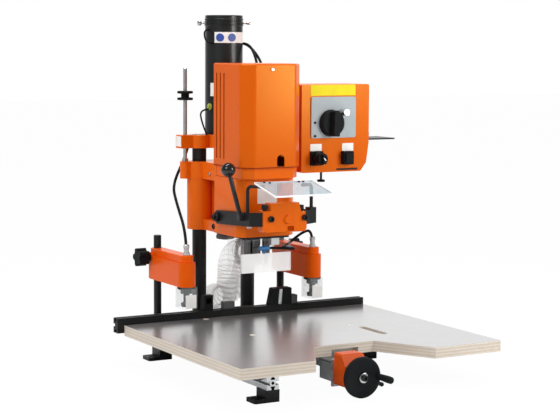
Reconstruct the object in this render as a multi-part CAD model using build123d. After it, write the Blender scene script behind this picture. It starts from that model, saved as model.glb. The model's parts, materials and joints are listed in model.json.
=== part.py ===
from build123d import *
from math import atan2, cos, hypot, pi, radians, sin, tan
import os

# Millimetres. X runs right along the fence, Y runs back, Z runs up from the bench.
# The origin is midway between the two middle bench bolts.

# Table and fence
PLATE_HALF = 285.0
PLATE_FRONT = -518.0
FENCE_Y = -28.0
PLATE_TOP = 81.0
PLATE_THICK = 21.0
PLATE_LOW = PLATE_TOP - PLATE_THICK
NOTCH_FRONT_HALF = 131.0
NOTCH_BACK_HALF = 67.0
NOTCH_DEPTH = 115.0
RAIL_LEFT = -300.0
RAIL_RIGHT = 285.0
RAIL_DEEP = 20.0
RAIL_LOW = 65.5
RAIL_TOP = 95.5

# Base
PROFILE_X = 188.0
PROFILE_SIZE = 25.0
FOOT_HIGH = 23.0
FOOT_LONG = 36.0
FOOT_FLANGE = 37.0
BOLT_OUT = 26.0
BOLT_R = 4.5
TIE_Y = -185.0
COLUMN_X = 58.5
COLUMN_Y = 86.0
COLUMN_R = 15.0
HOLD_LEFT_X = -157.0
HOLD_RIGHT_X = 141.0
HOLD_ROD_R = 8.0
HOLD_ROD_TOP = 245.0
YOKE_LOW = 426.0
YOKE_TOP = 454.0
PIPE_R = 40.0
PIPE_WALL = 2.5
PIPE_TOP = 705.0

# Head
DRILL_Y = -50.0
SIDE_X = 22.5
SIDE_Y = -59.5
GEAR_TEETH = 24
GEAR_LOW = 286.0
GEAR_HIGH = 302.0
HEAD_LOW = 254.0
LOBE_LOW = 362.0
FLANGE_LOW = 373.0
FLANGE_TOP = 398.0
FLANGE_INSET = 4.5
COVER_HALF = 69.5
COVER_FRONT = -136.0
COVER_BACK = -1.0
COVER_TOP = 606.0
COVER_CHAMFER = 22.0
GEARBOX_HALF = 66.0
GEARBOX_FRONT = -109.0
GEARBOX_BACK = 2.0
SLEEVE_R = 26.0
BUSH_R = 18.0
STOP_X = -92.0
STOP_R = 4.0
STOP_ROD_TOP = 594.0
NUT_LOW = 527.0
NUT_TOP = 546.0
FEED_BORE_R = 20.0
FEED_ROD_R = 8.0
CHUCK_LOW = 208.0
BIT_TIP = 190.0
HOOD_LOW = 180.0
HOOD_HALF = 60.0
HOOD_FRONT = -103.0
HOOD_BACK = -28.5
HOOD_TOP = 250.0
PANEL_TOP = 219.0
TEE_Z = 229.0
CORNER_TEE_Z = 225.0

# Press arm
PIVOT_Y = -27.0
PIVOT_Z = 290.0
PIVOT_R = 6.0
ARM_IN = 68.0
ARM_OUT = 74.0
ARM_HIGH = 28.0
ARM_BEND = -164.0
BLOCK_HALF = 50.0
BLOCK_FRONT = -180.0
BLOCK_BACK = -155.0
BLOCK_LOW = 270.0
BLOCK_TOP = 329.0

# Control box
BOX_LEFT = 96.0
BOX_RIGHT = 262.0
BOX_FRONT = -78.0
BOX_BACK = 12.0
BOX_LOW = 378.0
BOX_TOP = 562.0
KNOB_X = 165.0
KNOB_Z = 481.0
SELECT_X = 131.5
SELECT_Z = 408.0
BUTTON_X = 204.5
BUTTON_Z = 407.5
REG_X = 155.0
REG_Y = -60.0

# Table screw
WHEEL_X = -32.0
WHEEL_Z = 40.4
WHEEL_R = 38.2
WHEEL_FRONT = -523.0
WHEEL_BACK = -511.0
GRIP_OUT = 32.0
SCREW_R = 5.0

# Hold-downs
PRESS_Y = -50.0
HOLD_HALF = 18.5
GUARD_LOW = 110.0
HOLD_LOW = 154.0
HOLD_LEDGE = 203.0
HOLD_TOP = 218.0

# Extraction hose
HOSE_X = -6.0
HOSE_Z = 215.0
HOSE_CREST_R = 25.0
HOSE_VALLEY_R = 22.6
HOSE_BORE_R = 20.0
HOSE_PITCH = 9.0
HOSE_FLOOR = 98.0
RISER_X = 94.0
RISER_Y = 150.0
RISER_TOP = 455.0

# Play between pieces that move on each other
RUN = 0.05


def block(x0, x1, y0, y1, z0, z1):
    return Pos((x0 + x1) / 2, (y0 + y1) / 2, (z0 + z1) / 2) * Box(x1 - x0, y1 - y0, z1 - z0)


def rod_x(y, z, r, x0, x1):
    return Pos((x0 + x1) / 2, y, z) * Rot(0, 90, 0) * Cylinder(r, x1 - x0)


def rod_y(x, z, r, y0, y1):
    return Pos(x, (y0 + y1) / 2, z) * Rot(90, 0, 0) * Cylinder(r, y1 - y0)


def rod_z(x, y, r, z0, z1):
    return Pos(x, y, (z0 + z1) / 2) * Cylinder(r, z1 - z0)


def prism_x(outline, x0, x1):
    face = make_face(Polyline(*[(x0, y, z) for y, z in outline], close=True))
    return extrude(face, amount=x1 - x0, dir=(1, 0, 0))


def prism_y(outline, y0, y1):
    face = make_face(Polyline(*[(x, y0, z) for x, z in outline], close=True))
    return extrude(face, amount=y1 - y0, dir=(0, 1, 0))


def prism_z(outline, z0, z1):
    face = make_face(Polyline(*[(x, y, z0) for x, y in outline], close=True))
    return extrude(face, amount=z1 - z0, dir=(0, 0, 1))


def turned_z(outline, x, y):
    face = make_face(Polyline(*[(r, 0, z) for r, z in outline], close=True))
    return Pos(x, y, 0) * revolve(face, axis=Axis.Z)


def turned_y(outline, x, z):
    face = make_face(Polyline(*[(r, y, 0) for r, y in outline], close=True))
    return Pos(x, 0, z) * revolve(face, axis=Axis.Y)


def runs(points, bend):
    # Straight runs joined by arcs, each arc as wide as bend or as its runs allow.
    spots = [Vector(*p) for p in points]
    at = spots[0]
    edges = []
    for before, corner, after in zip(spots, spots[1:], spots[2:]):
        back = (before - corner).normalized()
        on = (after - corner).normalized()
        half = radians(back.get_angle(on)) / 2
        reach = min(bend / tan(half), 0.48 * (before - corner).length, 0.48 * (after - corner).length)
        middle = corner + (back + on).normalized() * reach * tan(half) * (1 / sin(half) - 1)
        edges.append(Line(at, corner + back * reach))
        edges.append(ThreePointArc(corner + back * reach, middle, corner + on * reach))
        at = corner + on * reach
    return Wire(edges + [Line(at, spots[-1])])


def tube(points, r, bend):
    path = runs(points, bend)
    section = Plane(origin=path @ 0, z_dir=path % 0) * Circle(r)
    return sweep(section, path=path)


def bent_rod(points, r, bend):
    path = FilletPolyline(*points, radius=bend)
    section = Plane(origin=path @ 0, z_dir=path % 0) * Circle(r)
    return sweep(section, path=path)


def mirrored(shape):
    return mirror(shape, about=Plane.YZ)


def group(*solids):
    return Compound(children=[s for shape in solids for s in shape.solids()])


def slotted(wide, high, sides):
    section = Rectangle(wide, high)
    for angle in sides:
        reach = (high if angle in (0, 180) else wide) / 2
        mouth = Pos(0, reach - 1.75) * Rectangle(6, 3.5)
        inside = Pos(0, reach - 5) * Rectangle(9, 3)
        section -= Rot(0, 0, angle) * (mouth + inside)
    return section


def gear_outline(x, y, phase):
    outline = []
    pitch_r = hypot(SIDE_X, SIDE_Y - DRILL_Y) / 2
    tooth = ((-5.6, -1.15), (-2.6, 0.0), (-1.5, 0.7), (1.5, 0.7), (2.6, 0.0), (5.6, -1.15))
    for n in range(GEAR_TEETH):
        for turn, rise in tooth:
            a = phase + radians(360 * n / GEAR_TEETH + turn)
            outline.append((x + (pitch_r + rise) * cos(a), y + (pitch_r + rise) * sin(a)))
    return outline


def gear_phase(side):
    # The driven gear shows a gap where the middle gear shows a tooth.
    step = 2 * pi / GEAR_TEETH
    line = atan2(SIDE_Y - DRILL_Y, side * SIDE_X)
    late = (line / step - round(line / step)) * step
    return line + pi + late + step / 2


# Base

def make_base_profiles():
    section = slotted(PROFILE_SIZE, PROFILE_SIZE, (0, 90, 180, 270)) - Circle(3)
    middle = FOOT_HIGH + PROFILE_SIZE / 2
    bars = []
    for side, front in ((-1, -462.0), (1, -210.0)):
        plane = Plane(origin=(side * PROFILE_X, front, middle), x_dir=(1, 0, 0), z_dir=(0, 1, 0))
        bars.append(extrude(plane * section, amount=110 - front))
    inner = PROFILE_X - PROFILE_SIZE / 2
    plane = Plane(origin=(-inner, TIE_Y, middle), x_dir=(0, 1, 0), z_dir=(1, 0, 0))
    bars.append(extrude(plane * section, amount=2 * inner))
    return group(*bars)


def make_rear_beam():
    half = PROFILE_X - PROFILE_SIZE / 2
    beam = block(-half, half, COLUMN_Y - 24, COLUMN_Y + 24, FOOT_HIGH, 58)
    beam = fillet(beam.edges().filter_by(Axis.X).group_by(Axis.Z)[-1], 5)
    for x, r in ((-COLUMN_X, 24), (COLUMN_X, 24), (HOLD_LEFT_X, 15), (HOLD_RIGHT_X, 15)):
        beam += rod_z(x, COLUMN_Y, r, 40, 74)
    for x, wide in ((-107, 44), (0, 60), (107, 30)):
        beam -= block(x - wide / 2, x + wide / 2, COLUMN_Y - 18, COLUMN_Y + 18, FOOT_HIGH, 50)
    for x in (-COLUMN_X, COLUMN_X):
        beam -= rod_z(x, COLUMN_Y, COLUMN_R + 0.03, 28, 80)
    for x in (HOLD_LEFT_X, HOLD_RIGHT_X):
        beam -= rod_z(x, COLUMN_Y, HOLD_ROD_R + 0.03, 28, 80)
    return beam


def make_foot():
    # Local frame: the upright stands over the origin and the flange points to -X.
    outline = [(-FOOT_FLANGE, 0), (14, 0), (14, FOOT_HIGH), (-14, FOOT_HIGH), (-14, 7), (-FOOT_FLANGE, 7)]
    foot = prism_y(outline, -FOOT_LONG / 2, FOOT_LONG / 2)
    foot = fillet(foot.edges().filter_by(Axis.Z).group_by(Axis.X)[0], 5)
    return foot - rod_z(-BOLT_OUT, 0, BOLT_R, -1, 8)


def make_feet():
    foot = make_foot()
    left = [Pos(-PROFILE_X, y, 0) * foot for y in (-444, 0)]
    right = [Pos(PROFILE_X, -192, 0) * foot, Pos(PROFILE_X, 0, 0) * Rot(0, 0, 180) * foot]
    rear = [Pos(x, 98, 0) * Rot(0, 0, -90) * foot for x in (-130, 130)]
    return group(*left, *right, *rear)


def make_columns():
    column = chamfer(rod_z(0, 0, COLUMN_R, 28, YOKE_TOP).edges(), 1.5)
    return group(*[Pos(x, COLUMN_Y, 0) * column for x in (-COLUMN_X, COLUMN_X)])


def make_hold_down_rods():
    rod = chamfer(rod_z(0, 0, HOLD_ROD_R, 28, HOLD_ROD_TOP).edges(), 1.2)
    return group(*[Pos(x, COLUMN_Y, 0) * rod for x in (HOLD_LEFT_X, HOLD_RIGHT_X)])


def make_column_yoke():
    ring = Pos(0, COLUMN_Y) * Circle(PIPE_R + 9)
    collars = [Pos(x, COLUMN_Y) * Circle(25) for x in (-COLUMN_X, COLUMN_X)]
    bridge = Pos(0, COLUMN_Y) * Rectangle(2 * COLUMN_X, 44)
    tongue = Pos(-82, COLUMN_Y) * Rectangle(50, 27)
    outline = ring + collars + bridge + tongue
    yoke = extrude(Pos(0, 0, YOKE_LOW) * outline, amount=YOKE_TOP - YOKE_LOW)
    yoke = chamfer(yoke.faces().sort_by(Axis.Z)[-1].outer_wire().edges(), 1.5)
    yoke -= rod_z(0, COLUMN_Y, PIPE_R + 0.03, 436, 460)
    for x in (-COLUMN_X, COLUMN_X):
        yoke -= rod_z(x, COLUMN_Y, COLUMN_R + 0.03, 420, 460)
    return yoke - rod_z(STOP_X, COLUMN_Y, STOP_R + RUN, 420, 460)


def make_extraction_pipe():
    bead = 1.3
    outline = [(PIPE_R - PIPE_WALL, 436), (PIPE_R, 436)]
    for z in (682, 688, 694):
        outline += [(PIPE_R, z), (PIPE_R + bead, z + 1), (PIPE_R + bead, z + 3), (PIPE_R, z + 4)]
    outline += [(PIPE_R, PIPE_TOP - 2), (PIPE_R - 1, PIPE_TOP), (PIPE_R - PIPE_WALL, PIPE_TOP)]
    pipe = turned_z(outline, 0, COLUMN_Y)
    plane = hose_planes([hose_path().length])[0].offset(-25)
    branch = extrude(plane * Circle(HOSE_BORE_R), amount=110)
    collar = extrude(plane.offset(25.5) * Circle(HOSE_CREST_R + 1), amount=75)
    core = rod_z(0, COLUMN_Y, PIPE_R - PIPE_WALL, 436, PIPE_TOP)
    pipe += (branch + collar) - core
    return pipe - extrude(plane.offset(-1) * Circle(HOSE_BORE_R - 2), amount=125)


def make_feed_piston():
    outline = [(0, 264), (FEED_BORE_R - RUN, 264), (FEED_BORE_R - RUN, 277), (FEED_ROD_R, 277)]
    outline += [(FEED_ROD_R, YOKE_LOW), (0, YOKE_LOW)]
    return turned_z(outline, 0, COLUMN_Y)


def make_screw_nut():
    front = TIE_Y - PROFILE_SIZE / 2
    nut = block(WHEEL_X - 15, WHEEL_X + 15, front - 42, front, FOOT_HIGH, 56)
    nut = chamfer(nut.edges().filter_by(Axis.Y), 3)
    return nut - rod_y(WHEEL_X, WHEEL_Z, SCREW_R + RUN, front - 43, front - 1.5)


def pipe_spot(turn, z, out=0):
    reach = PIPE_R + out
    return reach * cos(radians(turn)), COLUMN_Y + reach * sin(radians(turn)), z


def make_earth_leads():
    upper = [pipe_spot(186, 674), pipe_spot(186, 674, 12), pipe_spot(206, 646, 24), pipe_spot(206, 646)]
    lower = [pipe_spot(190, 507), pipe_spot(190, 507, 18), (-52, 64, 482), (-52, 64, YOKE_TOP)]
    return group(tube(upper, 1.8, 8), tube(lower, 1.8, 10))


# Table

def make_table_plate():
    notch = PLATE_FRONT + NOTCH_DEPTH
    outline = [(-PLATE_HALF, PLATE_FRONT), (-NOTCH_FRONT_HALF, PLATE_FRONT), (-NOTCH_BACK_HALF, notch)]
    outline += [(NOTCH_BACK_HALF, notch), (NOTCH_FRONT_HALF, PLATE_FRONT), (PLATE_HALF, PLATE_FRONT)]
    outline += [(PLATE_HALF, FENCE_Y), (-PLATE_HALF, FENCE_Y)]
    plate = prism_z(outline, PLATE_LOW, PLATE_TOP)
    corners = plate.edges().filter_by(Axis.Z)
    outer = [e for e in corners if abs(e.center().X) > 280 and e.center().Y < FENCE_Y - 1]
    inner = [e for e in corners if abs(e.center().X) < 70]
    plate = fillet(outer + inner, 4)
    slot = Pos(127, -308.5, PLATE_LOW - 1) * SlotOverall(91, 16, rotation=90)
    plate -= extrude(slot, amount=PLATE_THICK + 2)
    return plate - block(-27, 32, notch - 1, notch + 18, PLATE_LOW - 1, 72)


def make_fence_rail():
    section = slotted(RAIL_DEEP, RAIL_TOP - RAIL_LOW, (0, 180))
    section -= Pos(RAIL_DEEP / 2 - 2, 0) * Rectangle(4, 6) + Pos(RAIL_DEEP / 2 - 5, 0) * Rectangle(4, 11)
    middle = (RAIL_LOW + RAIL_TOP) / 2
    origin = (RAIL_LEFT, FENCE_Y + RAIL_DEEP / 2, middle)
    end = Plane(origin=origin, x_dir=(0, 1, 0), z_dir=(1, 0, 0))
    return extrude(end * section, amount=RAIL_RIGHT - RAIL_LEFT)


def make_table_guides():
    high = FOOT_HIGH + PROFILE_SIZE
    half = PROFILE_SIZE / 2 + RUN
    outline = [(-18.5, 40), (-half, 40), (-half, high + RUN), (half, high + RUN), (half, 40), (18.5, 40)]
    outline += [(18.5, PLATE_LOW), (-18.5, PLATE_LOW)]
    shoe = prism_y(outline, 0, 50)
    spots = ((-PROFILE_X, -445), (-PROFILE_X, -90), (PROFILE_X, -165), (PROFILE_X, -90))
    return group(*[Pos(x, y, 0) * shoe for x, y in spots])


def make_position_counter():
    outline = [(-497, 18.4), (-497, 58), (-482, 79), (-458.5, 79), (-458.5, 18.4)]
    counter = prism_x(outline, WHEEL_X - 24, WHEEL_X + 24)
    counter = fillet(counter.edges().filter_by(Axis.Y), 5)
    return counter - rod_y(WHEEL_X, WHEEL_Z, SCREW_R + RUN, -498, -457)


def make_screw_bearing():
    outline = [(-452.5, 22), (-452.5, 56), (-404, 56), (-404, PLATE_LOW), (-345, PLATE_LOW), (-345, 51)]
    outline += [(-398, 51), (-404, 45), (-404, 22)]
    body = prism_x(outline, WHEEL_X - 22, WHEEL_X + 22)
    front = prism_y([(-59, 15), (18, 15), (18, 40), (0, 60), (0, 66), (-59, 66)], -458.5, -452.5)
    body += front
    body -= rod_y(WHEEL_X, WHEEL_Z, SCREW_R + RUN, -460, -400)
    return body - rod_y(8, 25, 3 + RUN, -460, -450)


def make_table_screw():
    end = TIE_Y - PROFILE_SIZE / 2 - 19
    return chamfer(rod_y(WHEEL_X, WHEEL_Z, SCREW_R, WHEEL_FRONT - 1, end).edges(), 1)


def make_handwheel():
    rim = WHEEL_R
    outline = [(SCREW_R, WHEEL_FRONT), (9, WHEEL_FRONT), (10, WHEEL_FRONT + 2), (24, WHEEL_FRONT + 1.5)]
    outline += [(rim - 3, WHEEL_FRONT), (rim, WHEEL_FRONT + 3)]
    outline += [(rim, WHEEL_BACK - 3), (rim - 3, WHEEL_BACK)]
    outline += [(12, WHEEL_BACK - 3), (9, WHEEL_BACK), (9, -497.5), (SCREW_R, -497.5)]
    wheel = turned_y(outline, WHEEL_X, WHEEL_Z)
    return wheel + rod_y(WHEEL_X + GRIP_OUT, WHEEL_Z, 3, WHEEL_FRONT - 39, WHEEL_FRONT + 5)


def make_crank_grip():
    front = WHEEL_FRONT - 43
    outline = [(0, front), (4.5, front), (6.5, front + 2), (6.8, front + 12), (5.6, WHEEL_FRONT - 0.4)]
    outline += [(3 + RUN, WHEEL_FRONT - 0.4), (3 + RUN, front + 3), (0, front + 3)]
    return turned_y(outline, WHEEL_X + GRIP_OUT, WHEEL_Z)


def make_clamp_lever():
    hub = rod_y(8, 25, 6, -471, -459) + rod_y(8, 25, 3, -459, -453)
    way = (37, 0, -15)
    arm = Plane(origin=(8, -466, 25), z_dir=way)
    tip = arm.offset(40)
    return hub + loft([arm * Circle(3), tip * Circle(4)]) + Pos(tip.origin) * Sphere(4.2)


def make_left_stop():
    outline = [(-27.5, 95.6), (-8.5, 95.6), (-8.5, 116), (-14, 128), (-27.5, 128)]
    stop = prism_x(outline, -104, -84)
    tongue = block(-104, -84, -20.9, -15.1, 91, 96)
    window = block(-100, -88, -30, -10.5, 110, 122)
    return stop + tongue - window


def make_right_stop():
    outline = [(52, 95.6), (118, 95.6), (118, 114), (104, 114), (104, 131), (60, 131)]
    stop = prism_y(outline, -27.5, -8.5)
    stop = fillet(stop.edges().filter_by(Axis.Y).group_by(Axis.Z)[-1], 3)
    return stop + block(60, 110, -20.9, -15.1, 91, 96)


# Head

def cover_outline(inset):
    half = COVER_HALF - inset
    front = COVER_FRONT + inset
    cut = COVER_CHAMFER - 0.41 * inset
    outline = [(-half, COVER_BACK - inset), (-half, front + cut), (-half + cut, front)]
    return outline + [(half - cut, front), (half, front + cut), (half, COVER_BACK - inset)]


def make_head_casting():
    front = make_face(Polyline(*[(x, y) for x, y in cover_outline(FLANGE_INSET)], close=True))
    head = extrude(Pos(0, 0, FLANGE_LOW) * front, amount=FLANGE_TOP - FLANGE_LOW)
    head = fillet(head.faces().sort_by(Axis.Z)[0].outer_wire().edges(), 2.5)
    rim = make_face(Polyline(*[(x, y) for x, y in cover_outline(0.6)], close=True))
    head += extrude(Pos(0, 0, FLANGE_TOP - 3) * rim, amount=3)
    rear = Pos(0, 42) * Rectangle(2 * COVER_HALF - 2 * FLANGE_INSET, 92)
    rear += [Pos(x, COLUMN_Y) * Circle(SLEEVE_R + 2) for x in (-COLUMN_X, COLUMN_X)]
    rear += Pos(0, COLUMN_Y) * Rectangle(2 * COLUMN_X, 50)
    rear += Pos(STOP_X, COLUMN_Y) * Circle(11)
    rear += Pos((STOP_X - COLUMN_X) / 2, COLUMN_Y) * Rectangle(33.5, 22)
    head += extrude(Pos(0, 0, LOBE_LOW) * rear, amount=FLANGE_TOP - LOBE_LOW)
    half, cut = GEARBOX_HALF, 14
    outline = [(-half, GEARBOX_BACK), (-half, GEARBOX_FRONT + cut), (-half + cut, GEARBOX_FRONT)]
    outline += [(half - cut, GEARBOX_FRONT), (half, GEARBOX_FRONT + cut), (half, GEARBOX_BACK)]
    gearbox = prism_z(outline, HEAD_LOW, FLANGE_LOW)
    gearbox = fillet(gearbox.edges().filter_by(Axis.Z).group_by(Axis.Y)[0], 8)
    head += gearbox
    for x in (-COLUMN_X, COLUMN_X):
        head += rod_z(x, COLUMN_Y, SLEEVE_R, HEAD_LOW, FLANGE_LOW)
    head += rod_z(0, COLUMN_Y, FEED_BORE_R + 7, HEAD_LOW, FLANGE_TOP)
    head += block(-38, 38, GEARBOX_BACK, COLUMN_Y, HEAD_LOW, FLANGE_LOW)
    head += block(-62, 62, GEARBOX_BACK - 2, COLUMN_Y, HEAD_LOW, HEAD_LOW + 22)
    head += block(-COLUMN_X, COLUMN_X, COLUMN_Y - 9, COLUMN_Y + 9, HEAD_LOW + 20, FLANGE_LOW)
    for x0, x1 in ((-67.7, -60), (60, 67.7)):
        head += rod_x(PIVOT_Y, PIVOT_Z, 13, x0, x1)
    bracket = [(60, 376), (BOX_LEFT, 376), (BOX_LEFT, 440), (BOX_LEFT - 6, 440), (84, 394), (60, 394)]
    head += prism_y(bracket, -45, 5)
    for x in (-COLUMN_X, COLUMN_X):
        head -= rod_z(x, COLUMN_Y, BUSH_R, 250, 400)
    head -= rod_z(0, COLUMN_Y, FEED_BORE_R, 262, 356) + rod_z(0, COLUMN_Y, FEED_ROD_R + RUN, 350, 400)
    chamber = RectangleRounded(84, 60, 8)
    head -= extrude(Pos(0, DRILL_Y - 4, 250) * chamber, amount=70)
    head -= rod_z(0, DRILL_Y, 10 + RUN, 310, 400)
    for x in (-SIDE_X, SIDE_X):
        head -= rod_z(x, SIDE_Y, 6 + RUN, 310, 345)
    head -= rod_z(STOP_X, COLUMN_Y, STOP_R + 0.02, 360, 400)
    for x0, x1 in ((-90, -50), (50, 90)):
        head -= rod_x(PIVOT_Y, PIVOT_Z, PIVOT_R + 0.02, x0, x1)
    return head


def make_column_bushes():
    bush = rod_z(0, 0, BUSH_R, 0, 32) - rod_z(0, 0, COLUMN_R + RUN, -1, 33)
    spots = [(x, z) for x in (-COLUMN_X, COLUMN_X) for z in (HEAD_LOW, FLANGE_TOP - 32)]
    return group(*[Pos(x, COLUMN_Y, z) * bush for x, z in spots])


def make_gear_cover():
    plate = extrude(Pos(0, DRILL_Y - 9, 250) * RectangleRounded(108, 98, 10), amount=HEAD_LOW - 250)
    plate += rod_z(0, DRILL_Y, 15, 244, 252)
    for x in (-SIDE_X, SIDE_X):
        plate += rod_z(x, SIDE_Y, 10, 244, 252)
        plate -= rod_z(x, SIDE_Y, 6 + RUN, 240, 260)
    return plate - rod_z(0, DRILL_Y, 10 + RUN, 240, 260)


def make_motor():
    outline = [(0, FLANGE_TOP), (45, FLANGE_TOP), (45, FLANGE_TOP + 10), (40, FLANGE_TOP + 14), (40, 540)]
    outline += [(37, 546), (37, 578), (32, 586), (0, 586)]
    motor = turned_z(outline, 0, DRILL_Y)
    for n in range(12):
        fin = block(38, 44.5, -2, 2, FLANGE_TOP + 20, 534)
        motor += Pos(0, DRILL_Y, 0) * Rot(0, 0, 30 * n) * fin
    return motor - rod_z(0, DRILL_Y, 10 + RUN, 390, 421)


def make_motor_cover():
    cover = prism_z(cover_outline(0), FLANGE_TOP, COVER_TOP)
    front = [e for e in cover.edges().filter_by(Axis.Z) if e.center().Y < COVER_BACK - 5]
    cover = fillet(front, 9)
    cover = fillet(cover.faces().sort_by(Axis.Z)[-1].outer_wire().edges(), 4)
    cover -= prism_z(cover_outline(2.5), FLANGE_TOP - 1, COVER_TOP - 2.5)
    for y in (-14, -30, -46):
        cover -= block(-80, 80, y - 2.5, y + 2.5, 411, 586)
    window = extrude(SlotOverall(36, 18, rotation=90), amount=8)
    return cover - Pos(13.5, COVER_FRONT - 1, 404) * Rot(-90, 0, 0) * window


def make_stop_rod():
    rod = chamfer(rod_z(STOP_X, COLUMN_Y, STOP_R, FLANGE_LOW, STOP_ROD_TOP).edges(), 0.8)
    nut = extrude(Pos(STOP_X, COLUMN_Y, FLANGE_TOP) * RegularPolygon(7.5, 6), amount=6)
    return rod + nut


def make_stop_nuts():
    bore = STOP_R + RUN
    outline = [(bore, NUT_LOW), (15.5, NUT_LOW), (16.5, NUT_LOW + 1), (16.5, NUT_LOW + 5)]
    outline += [(8.5, NUT_LOW + 6), (8.5, NUT_TOP - 6), (16.5, NUT_TOP - 5)]
    outline += [(16.5, NUT_TOP - 1), (15.5, NUT_TOP), (bore, NUT_TOP)]
    return turned_z(outline, STOP_X, COLUMN_Y)


def make_pivot_bolts():
    outline = [(0, 54), (PIVOT_R, 54), (PIVOT_R, ARM_OUT + 0.4), (10, ARM_OUT + 0.4), (10, ARM_OUT + 5)]
    outline += [(8, ARM_OUT + 7), (0, ARM_OUT + 7)]
    face = make_face(Polyline(*[(x, r, 0) for r, x in outline], close=True))
    bolt = Pos(0, PIVOT_Y, PIVOT_Z) * revolve(face, axis=Axis.X)
    return group(bolt, mirrored(bolt))


def box_outline(inset):
    low, top = BOX_LOW + inset, BOX_TOP - inset
    left, right = BOX_LEFT + inset, BOX_RIGHT - inset
    outline = [(left, low), (right - 20, low), (right - 6, low + 18), (right, low + 60)]
    return outline + [(right, top), (left, top)]


def make_control_box():
    box = prism_y(box_outline(0), BOX_FRONT, BOX_BACK)
    box = fillet(box.edges().filter_by(Axis.Y), 4)
    box -= prism_y(box_outline(2.5), BOX_FRONT + 2.5, BOX_BACK + 1)
    for x, z, r in ((KNOB_X, KNOB_Z, 4), (SELECT_X, SELECT_Z, 3), (BUTTON_X, BUTTON_Z, 9)):
        box -= rod_y(x, z, r + RUN, BOX_FRONT - 1, BOX_FRONT + 4)
    box -= rod_z(REG_X, REG_Y, 3 + RUN, BOX_LOW - 1, BOX_LOW + 4)
    lid = prism_y(box_outline(2.6), BOX_BACK - 2.5, BOX_BACK)
    return group(box, lid)


def make_switch_plate():
    plate = Pos(172.5, BOX_FRONT, 493) * Rot(90, 0, 0) * extrude(RectangleRounded(109, 86, 5), amount=3)
    return plate - rod_y(KNOB_X, KNOB_Z, 4 + RUN, -90, -70)


def make_button_block():
    barrel = rod_y(SELECT_X, SELECT_Z, 13, BOX_FRONT - 22, BOX_FRONT)
    base = block(SELECT_X - 15, SELECT_X + 15, BOX_FRONT - 5, BOX_FRONT, SELECT_Z - 15, SELECT_Z + 15)
    selector = barrel + fillet(base.edges().filter_by(Axis.Y), 3)
    selector -= rod_y(SELECT_X, SELECT_Z, 3 + RUN, BOX_FRONT - 30, BOX_FRONT + 1)
    bezel = block(BUTTON_X - 12, BUTTON_X + 12, BOX_FRONT - 14, BOX_FRONT, BUTTON_Z - 14, BUTTON_Z + 14)
    bezel = fillet(bezel.edges().filter_by(Axis.Y), 3)
    hole = Pos(BUTTON_X, BOX_FRONT + 1, BUTTON_Z) * Rot(90, 0, 0) * extrude(button_outline(RUN), amount=20)
    return group(selector, bezel - hole)


def button_outline(play):
    return RectangleRounded(19 + 2 * play, 22 + 2 * play, 2)


def make_main_knob():
    front = BOX_FRONT - 3.4
    outline = [(0, front), (28.5, front), (27, front - 11), (25, front - 13), (0, front - 13)]
    knob = turned_y(outline, KNOB_X, KNOB_Z)
    fin = prism_y([(-7, -27), (7, -27), (5, 27), (-5, 27)], front - 26, front - 10)
    fin = fillet(fin.edges().filter_by(Axis.Y), 3)
    return knob + Pos(KNOB_X, 0, KNOB_Z) * fin + rod_y(KNOB_X, KNOB_Z, 4, front, BOX_FRONT + 8)


def make_selector_knob():
    front = BOX_FRONT - 22.4
    outline = [(0, front), (12, front), (12, front - 6), (10.5, front - 8), (0, front - 8)]
    knob = turned_y(outline, SELECT_X, SELECT_Z)
    bar = block(SELECT_X - 3.5, SELECT_X + 3.5, front - 14, front - 6, SELECT_Z - 10, SELECT_Z + 10)
    return knob + bar + rod_y(SELECT_X, SELECT_Z, 3, front, BOX_FRONT + 8)


def make_push_button():
    cap = extrude(button_outline(0), amount=13)
    cap = chamfer(cap.faces().sort_by(Axis.Z)[-1].edges(), 1)
    cap = Pos(BUTTON_X, BOX_FRONT - 5, BUTTON_Z) * Rot(90, 0, 0) * cap
    return cap + rod_y(BUTTON_X, BUTTON_Z, 6, BOX_FRONT - 6, BOX_FRONT + 6)


def make_regulator_knob():
    outline = [(0, 356.5), (7.6, 356.5), (8.3, 357.2), (8.3, 360.2), (7.6, 361), (2.4, 362)]
    outline += [(2.4, BOX_LOW - 2), (3, BOX_LOW - 2), (3, BOX_LOW + 10), (0, BOX_LOW + 10)]
    return turned_z(outline, REG_X, REG_Y)


def make_shelf():
    outline = [(BOX_RIGHT, 443), (331, 443), (331, 446), (BOX_RIGHT + 3, 446)]
    outline += [(BOX_RIGHT + 3, 460), (BOX_RIGHT, 460)]
    return prism_y(outline, -74, -6)


def hood_shell(inset, low, top):
    half = HOOD_HALF - inset
    shell = block(-half, half, HOOD_FRONT + inset, HOOD_BACK - inset, low, top)
    shell = fillet(shell.edges().filter_by(Axis.Z).group_by(Axis.Y)[-1], 20 - inset)
    return fillet(shell.edges().filter_by(Axis.Z).group_by(Axis.Y)[0], 6 - inset)


def make_chip_hood():
    hood = hood_shell(0, HOOD_LOW, HOOD_TOP) - hood_shell(2, HOOD_LOW - 1, HOOD_TOP - 2.5)
    hood -= block(8 - HOOD_HALF, HOOD_HALF - 8, HOOD_FRONT - 1, HOOD_FRONT + 8, PANEL_TOP, HOOD_TOP - 5)
    hood -= block(-36, 36, SIDE_Y - 12, DRILL_Y + 17, 240, 252)
    hood += rod_y(HOSE_X, HOSE_Z, HOSE_BORE_R, HOOD_BACK - 1, 3)
    return hood - rod_y(HOSE_X, HOSE_Z, HOSE_BORE_R - 2, HOOD_BACK - 4, 4)


def make_air_tees():
    run = rod_x(HOOD_FRONT + 1, TEE_Z, 4.6, -16, 6)
    front = run + rod_z(-5, HOOD_FRONT + 1, 3.4, PANEL_TOP, TEE_Z)
    corner = rod_y(HOOD_HALF + 3.7, CORNER_TEE_Z, 3.6, -98, -78)
    corner += rod_x(-86, CORNER_TEE_Z, 3.4, HOOD_HALF, HOOD_HALF + 3.7)
    return group(front, corner)


# Spindles

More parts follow.
